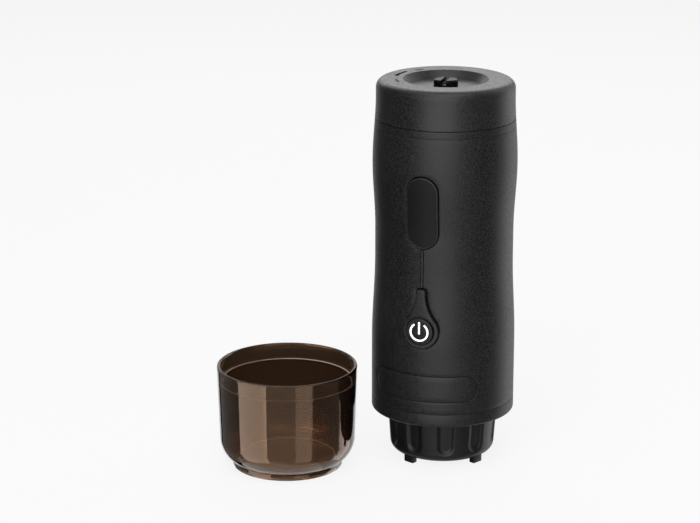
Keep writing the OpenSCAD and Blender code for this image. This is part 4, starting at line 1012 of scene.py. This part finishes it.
class MACHINE_OT_shell(Operator):
    """Builds the waisted shell with its openings, its recesses and its raised line"""
    bl_idname = "machine.shell"
    bl_label = "Outer shell"

    def execute(self, context):
        edge, soft = sizes().edge_round / MM, sizes().opening_round / MM
        skin = Skin()
        left, right = -BODY_R * math.pi / 2, BODY_R * math.pi * 3 / 2
        around = 120

        def sheet(low, high):
            corners = [(left, low), (right, low), (right, high), (left, high)]
            return split(corners, (right - left) / around)

        def ring(z):
            return [(left + (right - left) * i / around, z) for i in range(around)]

        openings = (window_outline, bezel_outline, flap_outline, plate_outline)
        outer_holes = [outline(soft) for outline in openings] + [line_outline(LINE_GAP)]
        skin.fill(sheet(SHELL_Z + edge, SHELL_TOP - edge), outer_holes, lifted(0), spacing=2.4)
        inner_holes = [window_outline(0), bezel_outline(0), socket_outline()]
        skin.fill(sheet(SHELL_Z, SHELL_TOP), inner_holes, fixed(BORE_R), spacing=4.0)
        for end, inwards in ((SHELL_Z, edge), (SHELL_TOP, -edge)):
            skin.wall([(ring(end + inwards), lifted(0)),
                       (ring(end + inwards * ROUND_MIDDLE), lifted(-edge * ROUND_MIDDLE)),
                       (ring(end), lifted(-edge)), (ring(end), fixed(BORE_R))])
        floors = (fixed(BORE_R), fixed(BORE_R), flap_seat, lifted(-PLATE_DEPTH))
        part_way = soft * ROUND_MIDDLE
        for outline, floor in zip(openings, floors):
            skin.wall([(outline(soft), lifted(0)), (outline(part_way), lifted(-part_way)),
                       (outline(0), lifted(-soft)), (outline(0), floor)])
        skin.fill(flap_outline(0), [socket_outline()], flap_seat, spacing=2.0)
        skin.wall([(socket_outline(), flap_seat), (socket_outline(), fixed(BORE_R))])
        skin.fill(plate_outline(0), [], lifted(-PLATE_DEPTH), spacing=2.4)
        line_top = soft_edge(line_outline, 0.0, LINE_RISE, LINE_EDGE)
        skin.wall([(line_outline(LINE_GAP), lifted(0)), (line_outline(LINE_GAP), lifted(-LINE_DEPTH)),
                   (line_outline(0), lifted(-LINE_DEPTH))] + line_top)
        skin.fill(line_top[-1][0], [], lifted(LINE_RISE), spacing=0.8)
        dress(skin.piece("shell_tube"), "machine", "shell_black", "shell_black", "outer_shell")
        return {"FINISHED"}


class MACHINE_OT_window(Operator):
    """Builds the glossy display window with its lip and its grained rim"""
    bl_idname = "machine.window"
    bl_label = "Display window"

    def execute(self, context):
        proud = sizes().window_proud / MM
        rim_back, rim_w, rim_slope, glass_drop, seam = 0.25, 0.8, 0.2, 0.25, 0.01
        edge, low = -FRONT_GAP - rim_back, proud - glass_drop
        glass = edge - rim_w
        skin = Skin()
        skin.fill(window_outline(LIP_W), [], fixed(LIP_IN_R), spacing=2.5)
        skin.wall([(window_outline(LIP_W), fixed(LIP_IN_R)), (window_outline(LIP_W), fixed(LIP_OUT_R)),
                   (window_outline(glass), fixed(LIP_OUT_R)), (window_outline(glass), lifted(low))])
        skin.fill(window_outline(glass), [], lifted(low), spacing=1.6)
        rim = Skin()
        foot = (window_outline(edge), fixed(LIP_OUT_R))
        rim.wall([foot] + soft_edge(window_outline, edge, proud, RIM_EDGE)
                 + [(window_outline(glass + rim_slope), lifted(proud)),
                    (window_outline(glass + seam), lifted(low)),
                    (window_outline(glass + seam), fixed(LIP_OUT_R)), foot])
        dress(rim.piece("window_rim"), "machine", "shell_black", "shell_black")
        dress(skin.piece("window_glass"), "machine", "window_black", "gloss_black", "display_window")
        return {"FINISHED"}


class MACHINE_OT_bezel(Operator):
    """Builds the raised drop-shaped bezel round the button"""
    bl_idname = "machine.bezel"
    bl_label = "Button bezel"

    def execute(self, context):
        proud, soft = sizes().bezel_proud / MM, sizes().bezel_round / MM
        back, hole_soft, bend_steps = 0.2, 0.3, 6
        lip, edge = LIP_W - FRONT_GAP, -FRONT_GAP - back
        bore = button_outline(0)
        bend = [(edge - soft * (1 - math.cos(t)), lifted(proud - soft * (1 - math.sin(t))))
                for t in np.linspace(0, math.pi / 2, bend_steps)]
        levels = [(lip, fixed(LIP_IN_R)), (lip, fixed(LIP_OUT_R)), (edge, fixed(LIP_OUT_R))] + bend
        skin = Skin()
        skin.fill(bezel_outline(lip), [bore], fixed(LIP_IN_R), spacing=2.5)
        skin.wall([(bezel_outline(out), radius) for out, radius in levels])
        skin.fill(bezel_outline(edge - soft), [button_outline(hole_soft)], lifted(proud), spacing=1.2)
        skin.wall(soft_edge(button_outline, hole_soft, proud, BUTTON_EDGE) + [(bore, fixed(LIP_IN_R))])
        dress(skin.piece("bezel_drop"), "machine", "shell_black", "shell_black", "button_bezel")
        return {"FINISHED"}


class MACHINE_OT_button(Operator):
    """Softens the edges of the power button"""
    bl_idname = "machine.button"
    bl_label = "Power button"

    def execute(self, context):
        piece = softened_copy("button_cap", "power_button", bevel=0.3)
        dress(piece, "button", "satin_black", "satin_black", "power_button")
        return {"FINISHED"}


class MACHINE_OT_plate(Operator):
    """Builds the bare name plate, flush with the body"""
    bl_idname = "machine.plate"
    bl_label = "Name plate"

    def execute(self, context):
        seat_gap = 0.05
        edge, back = -sizes().plate_gap / MM, lifted(seat_gap - PLATE_DEPTH)
        front = soft_edge(plate_outline, edge, 0.0, PLATE_EDGE)
        skin = Skin()
        skin.fill(plate_outline(edge), [], back, spacing=2.4)
        skin.wall([(plate_outline(edge), back)] + front)
        skin.fill(front[-1][0], [], lifted(0), spacing=2.4)
        dress(skin.piece("bare_plate"), "machine", "shell_black", "shell_black", "name_plate")
        return {"FINISHED"}


class MACHINE_OT_base(Operator):
    """Softens the base cover and puts the screws in it"""
    bl_idname = "machine.base"
    bl_label = "Base cover"
    screws, first_screw, head_r = 3, 30.0, 2.3

    def execute(self, context):
        ring = softened_copy("base_ring", "base_cover", bevel=0.12)
        dress(ring, "machine", "shell_black", "shell_black", "base_cover")
        low, high = box_mm("base_screws")
        ring_r = (high[1] - AXIS[1] - self.head_r) / math.sin(math.radians(self.first_screw))
        screw = new_piece("base_screw_set", *self.screw(high[2] - low[2]))
        ringed(screw, self.screws, ring_r, self.first_screw, low[2], "steel")
        dress(screw, "machine", "steel", "steel", "base_screws")
        return {"FINISHED"}

    def screw(self, long):
        """A screw with a socket in its head, head down at the origin."""
        head_h, socket_r, socket_depth, shank_r, point = 1.4, 1.05, 0.8, 1.0, 0.5
        profile = rounded([(0.0, socket_depth, 0.0), (socket_r, socket_depth, 0.0), (socket_r, 0.0, 0.1),
                           (self.head_r, 0.0, 0.3), (self.head_r, head_h, 0.1), (shank_r, head_h, 0.0),
                           (shank_r, long - point, 0.0), (shank_r - point, long, 0.0), (0.0, long, 0.0)], 3)
        return lathe(profile, (0.0, 0.0), steps=24)


class MACHINE_OT_brew_cap(Operator):
    """Builds the brew cap with its grip grooves, its thread and its feet"""
    bl_idname = "machine.brew_cap"
    bl_label = "Brew cap"
    low_r, top_r, corner_r, bore_r, hole_r = 26.4, 27.6, 4.6, 23.75, 3.2
    flutes, first_flute = 10, -68.0
    feet, first_foot, foot_ring_r, foot_h = 4, 65.3, 23.25, 2.5

    def groove(self, turn, z):
        """How deep the grip grooves cut at an angle and a height."""
        half, wall, end_z, mean_r = 4.8, 2.4, self.foot_h + 8.4, 27.0
        step = 2 * math.pi / self.flutes
        off = (turn - math.radians(self.first_flute) + step / 2) % step - step / 2
        away = math.hypot(mean_r * off, max(0.0, end_z - z))
        share = max(0.0, min(1.0, (half - away) / wall))
        return sizes().grip_depth / MM * share * share * (3 - 2 * share)

    def execute(self, context):
        edge, edge_middle, side_start, side_steps = 0.4, 0.12, 0.04, 25
        low, floor, bend_z = self.foot_h, self.foot_h + 2.5, self.foot_h + self.corner_r
        thread_low, thread_high = floor + 4.5, CAP_TOP - 1.3
        outer = arc((self.low_r - self.corner_r, bend_z), self.corner_r, -90, 0, steps=20)
        outer += [(self.low_r + (self.top_r - self.low_r) * t, bend_z + (CAP_TOP - edge - bend_z) * t)
                  for t in np.linspace(side_start, 1, side_steps)]
        outer += [(self.top_r - edge_middle, CAP_TOP - edge_middle), (self.top_r - edge, CAP_TOP)]
        inner = rounded([(*outer[-1], 0.0), (self.bore_r, CAP_TOP, edge), (self.bore_r, floor, 0.8),
                         (self.hole_r, floor, 0.3), (self.hole_r, low, 0.3), (*outer[0], 0.0)], 4)[1:-1]

        def profile(turn):
            return [(r - self.groove(turn, z), z) for r, z in outer] + inner

        piece = new_piece("brew_cap_shell", *lathe(profile, AXIS, sizes().round_steps * 2), crease=40)
        join(piece, wound("cap_thread", thread_low, thread_high, self.bore_r, "satin_black"))
        foot = new_piece("brew_feet", *self.foot())
        join(piece, ringed(foot, self.feet, self.foot_ring_r, self.first_foot, 0.0, "satin_black"))
        dress(piece, "cap", "satin_black", "satin_black", "brew_cap")
        return {"FINISHED"}

    def foot(self):
        """One foot with soft edges, standing at the origin."""
        half_r, half_w, soft, root = 1.65, 3.0, 0.5, 2.1
        levels = ((0.0, 0.35), (0.12, 0.12), (0.4, 0.0), (self.foot_h + root, 0.0))
        return stacked([[(x, y, z) for x, y in rounded_box(half_r - less, half_w - less, soft, steps=4)]
                        for z, less in levels])


class MACHINE_OT_cup(Operator):
    """Builds the clear brown cup"""
    bl_idname = "machine.cup"
    bl_label = "Cup"

    def execute(self, context):
        rim_r, low_r, wall, corner, in_corner = 35.2, 34.0, 1.7, 14.0, 7.5
        hollow_r, hollow, foot_in_r, foot_out_r, foot_side_r, foot_h = 24.6, 1.2, 25.0, 27.5, 27.8, 1.5
        corner_z, corner_start, bend_end = 0.6 + corner, -57, -86
        # The last value is the height of the band on the ledge that carries a painted highlight.
        step_z, step_w, step_up, step_soft, ledge_drop, glint_band = CUP_H - 7.7, 0.8, 0.3, 0.35, 0.2, 0.12
        floor, floor_sink, sink_before, sink_w, sink_after = 4.6, 0.3, 0.2, 0.15, 0.4
        wall_clear, bend_clear = 3.0, 2.0

        def wall_r(z):
            return low_r + (rim_r - low_r) * (z - corner_z) / (CUP_H - corner_z)

        step_r = wall_r(step_z) - wall
        ledge_r, ledge_z = step_r - step_w, step_z - ledge_drop
        bend_r, bend_z = low_r - wall - step_w, floor + in_corner
        floor_r, low = bend_r - in_corner, floor - floor_sink
        inner_side = [(bend_r + (ledge_r - bend_r) * (z - bend_z) / (ledge_z - bend_z), z)
                      for z in np.linspace(ledge_z - wall_clear, bend_z + bend_clear, 6)]
        profile = [(0.0, hollow, 0.0), (hollow_r, hollow, 0.3), (foot_in_r, 0.0, 0.3),
                   (foot_out_r, 0.0, 0.35), (foot_side_r, foot_h, 0.4)]
        profile += plain(
            arc((low_r - corner, corner_z), corner, corner_start, 0, steps=24)
            + [(wall_r(z), z) for z in np.linspace(corner_z + wall_clear, CUP_H - wall, 10)]
            + arc((rim_r - wall / 2, CUP_H - wall / 2), wall / 2, 0, 180, steps=12)
            + [(step_r, step_z + step_up), (step_r, step_z), (ledge_r + step_soft, ledge_z),
               (ledge_r, ledge_z), (ledge_r, ledge_z - glint_band), (ledge_r, ledge_z - step_soft)]
            + inner_side + arc((floor_r, bend_z), in_corner, 0, bend_end, steps=24)
            + [(floor_r + sink_before, floor), (floor_r, floor), (floor_r - sink_w, low),
               (floor_r - sink_after, low), (0.0, low)])
        piece = new_piece("cup_clear", *lathe(rounded(profile), CUP_AXIS, sizes().round_steps), crease=50)
        # The marked edges carry a painted highlight in the cup's finish.
        self.mark_glint_edges(piece, [(ledge_r, ledge_z), (ledge_r, ledge_z - glint_band), (floor_r, floor),
                                (floor_r - sink_w, low)])
        dress(piece, "cup", "clear_brown", "cup_brown", "cup")
        return {"FINISHED"}

    def mark_glint_edges(self, piece, edges):
        """Marks the points on the moulded edges inside the cup, where the finish paints a highlight that
        stands in for their glint.
        """
        near = 0.02
        marks = piece.data.attributes.new("moulded_edge", "FLOAT", "POINT")
        for point, mark in zip(piece.data.vertices, marks.data):
            x, y, z = (v / MM for v in point.co)
            r = math.hypot(x - CUP_AXIS[0], y - CUP_AXIS[1])
            mark.value = float(any(abs(r - a) < near and abs(z - b) < near for a, b in edges))


class MACHINE_OT_flap(Operator):
    """Softens the flap over the charging socket"""
    bl_idname = "machine.flap"
    bl_label = "Charging flap"

    def execute(self, context):
        piece = softened_copy("socket_flap", "port_flap", bevel=0.25)
        dress(piece, "flap", "black_rubber", "black_rubber", "port_flap")
        return {"FINISHED"}


class MACHINE_OT_pump_springs(Operator):
    """Replaces the two springs of the pump with softened steel copies"""
    bl_idname = "machine.pump_springs"
    bl_label = "Pump springs"

    def execute(self, context):
        for name, node, still in (("stroke_spring", "pump_spring", 0), ("stop_spring", "buffer_spring", 1)):
            piece = softened_copy(name, node, bevel=0.05)
            coat(piece, "steel")
            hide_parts(node)
            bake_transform(piece)
        return {"FINISHED"}


class MACHINE_OT_inner_pieces(Operator):
    """Gives the lit mark and the pieces inside the machine their finishes"""
    bl_idname = "machine.inner_pieces"
    bl_label = "Inner pieces"
    finishes = {
        "lit_mark": ["power_icon"],
        "black_rubber": ["group_seal", "pump_mount"],
        "grey_silicone": ["vent_valve", "lid_gasket", "inlet_hose", "outlet_hose"],
        "tank_alloy": ["water_tank"],
        "steel": ["shower_plate", "shower_screw", "coffee_basket", "frame_screws", "pump_yoke",
                  "pump_armature", "pump_tube", "charge_port", "cell_contacts"],
        "brass": ["heater_plate", "frame_post_1", "frame_post_2", "frame_post_3", "frame_post_4"],
        "copper_coil": ["pump_coil"],
        "frame_grey": ["lower_deck", "upper_deck", "lower_cell_holder", "upper_cell_holder"],
        "fitting_white": ["pump_inlet", "pump_outlet", "thermostat", "switch_plunger"],
        "board_green": ["control_board", "port_board"],
        "chip_black": ["board_parts", "tact_switch", "display_module"],
        "cell_wrap": ["battery_cell_1", "battery_cell_2", "battery_cell_3"],
        "lead_red": ["heater_leads"],
        "lead_black": ["battery_leads"],
        "satin_black": ["group_head"],
    }

    def execute(self, context):
        for name, nodes in self.finishes.items():
            for node in nodes:
                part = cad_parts[node]
                if part.data.materials:
                    part.data.materials[0] = finish(name)
                else:
                    part.data.materials.append(finish(name))
        return {"FINISHED"}


class MACHINE_OT_stage(Operator):
    """Sets the floor, the light and the camera"""
    bl_idname = "machine.stage"
    bl_label = "Stage"

    def execute(self, context):
        scene = context.scene
        scene.view_settings.view_transform = "Standard"
        self.world(scene)
        self.floor(scene.machine_stage)
        self.lamps(scene.machine_stage)
        self.camera(scene)
        return {"FINISHED"}

    def seen(self, tree):
        """One where the camera, a reflection or clear plastic looks, else nought."""
        path = tree.nodes.new("ShaderNodeLightPath")
        value = path.outputs["Is Camera Ray"]
        for ray in ("Is Glossy Ray", "Is Transmission Ray"):
            most = math_node(tree, "MAXIMUM")
            link(tree, (value, most.inputs[0]), (path.outputs[ray], most.inputs[1]))
            value = most.outputs[0]
        return value

    def world(self, scene):
        """Even fill light, with the backdrop where it is seen."""
        stage = scene.machine_stage
        world = bpy.data.worlds.new("Studio")
        scene.world = world
        world.use_nodes = True
        tree = world.node_tree
        fill = tree.nodes["Background"]
        set_inputs(fill, {"Color": (1.0, 1.0, 1.0, 1.0), "Strength": stage.fill})
        backdrop = tree.nodes.new("ShaderNodeBackground")
        backdrop.inputs["Color"].default_value = (*stage.backdrop, 1.0)
        end = tree.nodes["World Output"]
        link(tree, (mixed(tree, self.seen(tree), fill, backdrop), end.inputs["Surface"]))

    def floor(self, stage):
        """A wide pale floor that keeps the object's soft shadow."""
        far, matt_tone = 6.0, 0.83
        made, tree, shader = new_finish("pale_floor")
        tree.nodes.remove(shader)
        matt = tree.nodes.new("ShaderNodeBsdfDiffuse")
        matt.inputs["Color"].default_value = (*toned(stage.backdrop, matt_tone), 1.0)
        glow = tree.nodes.new("ShaderNodeEmission")
        glow.inputs["Color"].default_value = (*stage.backdrop, 1.0)
        share = math_node(tree, "MULTIPLY")
        share.inputs[1].default_value = stage.floor_glow
        link(tree, (self.seen(tree), share.inputs[0]),
             (mixed(tree, share.outputs[0], matt, glow), tree.nodes["Material Output"].inputs["Surface"]))
        spots = [(-far, -far, 0), (far, -far, 0), (far, far, 0), (-far, far, 0)]
        floor = self.flat_prop("floor", spots, [(0, 1, 2, 3)], made)
        floor.visible_glossy = floor.visible_shadow = False

    def lamps(self, stage):
        """Soft boxes round the machine, others for the cup alone, side cards, and a dark sheet under the cup
        that paints shade into what is seen through it.
        """
        cup = stage.cup_light
        self.softbox("front_box", self.round_about(-10.0, far=1.3, z=0.35), wide=1.25, tall=1.6,
                     level=stage.key, reach="EXCLUDE")
        self.softbox("rim_box", self.round_about(118.0, far=0.9, z=0.1), wide=0.55, tall=2.0, level=stage.rim)
        self.softbox("cup_left_box", self.round_about(-60.0, far=0.9, z=0.1), wide=0.85, tall=2.0,
                     level=cup, reach="INCLUDE")
        self.softbox("cup_far_box", self.round_about(-113.0, far=0.9, z=0.1), wide=0.95, tall=2.0,
                     level=cup * 0.08, reach="INCLUDE")
        self.softbox("cup_right_box", self.round_about(27.0, far=1.0, z=0.1), wide=0.5, tall=2.0,
                     level=cup * 0.28, reach="INCLUDE")
        self.softbox("back_box", Vector((-0.33, 0.9, 0.85)), wide=1.2, tall=0.9, level=stage.top,
                     reach="EXCLUDE")
        self.softbox("top_box", Vector((0.15, -0.45, 1.35)), wide=1.0, tall=1.2, level=stage.top * 1.9,
                     reach="EXCLUDE")
        self.softbox("cup_floor_box", Vector((-0.1, -0.1, -0.8)), wide=1.3, tall=1.3, level=cup * 0.18,
                     reach="INCLUDE")
        self.card("left_card", start=-146.0, end=-48.0, low=-0.42, high=1.6, level=0.19)
        self.card("left_low_card", start=-150.0, end=-40.0, low=-1.6, high=-0.42, level=0.0)
        self.card("right_card", start=44.0, end=98.0, low=-1.6, high=1.6, level=0.27)
        # Painted shade: a dark brown sheet, seen only through the cup, darkens what shows through it.
        self.shade_sheet_under_cup("cup_mat", r=0.22)

    def round_about(self, angle, far, z):
        """A place at an angle from the camera's side, seen from the object, a distance and a height."""
        turn = math.atan2(CAMERA_PLACE[1], CAMERA_PLACE[0]) + math.radians(angle)
        return Vector((far * math.cos(turn), far * math.sin(turn), z))

    def card(self, name, start, end, low, high, level):
        """A grey curved card beside the set, seen only in reflections and through the cup."""
        far, steps = 1.5, 12
        spots = [self.round_about(start + (end - start) * i / steps, far, z)
                 for i in range(steps + 1) for z in (low, high)]
        faces = [(2 * i, 2 * i + 1, 2 * i + 3, 2 * i + 2) for i in range(steps)]
        self.sheet(name, spots, faces, (level, level, level))

    def shade_sheet_under_cup(self, name, r):
        """A dark round sheet under the cup, seen only through its clear plastic: painted shade that darkens
        what the cup shows of the floor.
        """
        steps, z = 48, 0.0002
        centre = [v * MM for v in CUP_AXIS]
        spots = [(*polar(centre, r, 2 * math.pi * i / steps), z) for i in range(steps)]
        shade_sheet = self.sheet(name, spots, [tuple(range(steps))], (0.05, 0.037, 0.028))
        shade_sheet.visible_glossy = False

    def sheet(self, name, spots, faces, tint):
        """A sheet of the stage that the camera, the light and the shadows pass."""
        made, _, shader = new_finish(name)
        set_inputs(shader, {"Base Color": (0.0, 0.0, 0.0, 1.0), "Specular IOR Level": 0.0,
                            "Emission Color": (*tint, 1.0), "Emission Strength": 1.0})
        sheet = self.flat_prop(name, spots, faces, made)
        sheet.visible_camera = sheet.visible_diffuse = sheet.visible_shadow = False
        return sheet

    def flat_prop(self, name, spots, faces, made):
        """A thin thing of the stage, in metres."""
        mesh = bpy.data.meshes.new(name)
        mesh.from_pydata(spots, [], faces)
        mesh.materials.append(made)
        prop = put_in_scene(name, mesh)
        return prop

    def softbox(self, name, place, wide, tall, level, reach=None):
        """A light of a given radiance that looks at the set, and may reach only the cup or all else."""
        aim = Vector((0.0, 0.0, 0.1))
        lamp = bpy.data.lights.new(name, "AREA")
        lamp.shape = "RECTANGLE"
        lamp.size, lamp.size_y = wide, tall
        lamp.energy = level * math.pi * wide * tall
        box = put_in_scene(name, lamp)
        box.location = place
        box.rotation_euler = (aim - place).to_track_quat("-Z", "Y").to_euler()
        box.visible_camera = False
        if reach:
            group = bpy.data.collections.new(name + "_reach")
            group.objects.link(bpy.data.objects["cup_clear"])
            group.collection_objects[0].light_linking.link_state = reach
            box.light_linking.receiver_collection = group

    def camera(self, scene):
        """The camera at the photograph's place."""
        lens = bpy.data.cameras.new("camera")
        lens.lens = scene.machine_stage.lens
        lens.sensor_width = 36.0
        lens.clip_start, lens.clip_end = 0.05, 50.0
        camera = put_in_scene("camera", lens)
        camera.location = CAMERA_PLACE
        down = math.radians(CAMERA_DOWN)
        look = Vector((*(v * math.cos(down) for v in CAMERA_HEADING), -math.sin(down)))
        camera.rotation_euler = look.to_track_quat("-Z", "Y").to_euler()
        scene.camera = camera


OPERATORS = (MACHINE_OT_tank_lid, MACHINE_OT_lid_marks, MACHINE_OT_vent, MACHINE_OT_collar, MACHINE_OT_shell,
             MACHINE_OT_window, MACHINE_OT_bezel, MACHINE_OT_button, MACHINE_OT_plate, MACHINE_OT_base,
             MACHINE_OT_brew_cap, MACHINE_OT_cup, MACHINE_OT_flap, MACHINE_OT_pump_springs,
             MACHINE_OT_inner_pieces, MACHINE_OT_stage)
GROUPS = (("machine_sizes", MachineSizes), ("machine_colours", MachineColours),
          ("machine_stage", StageSettings))


class MACHINE_PT_panel(Panel):
    """Lists the pieces and their settings"""
    bl_idname = "MACHINE_PT_panel"
    bl_label = "Coffee machine"
    bl_space_type = "VIEW_3D"
    bl_region_type = "UI"
    bl_category = "Coffee machine"

    def draw(self, context):
        for name, group in GROUPS:
            box = self.layout.box()
            for key in group.__annotations__:
                box.prop(getattr(context.scene, name), key)
        for operator in OPERATORS:
            self.layout.operator(operator.bl_idname)


CLASSES = tuple(group for _, group in GROUPS) + OPERATORS + (MACHINE_PT_panel,)


def register():
    """Registers the classes and hangs the settings on the scene."""
    for item in CLASSES:
        bpy.utils.register_class(item)
    for name, group in GROUPS:
        setattr(bpy.types.Scene, name, PointerProperty(type=group))


def unregister():
    """Takes the settings and classes away again."""
    for name, _ in GROUPS:
        delattr(bpy.types.Scene, name)
    for item in reversed(CLASSES):
        bpy.utils.unregister_class(item)


def main():
    """Builds every piece in order."""
    register()
    for operator in OPERATORS:
        family, name = operator.bl_idname.split(".")
        getattr(getattr(bpy.ops, family), name)()


if __name__ == "__main__":
    main()
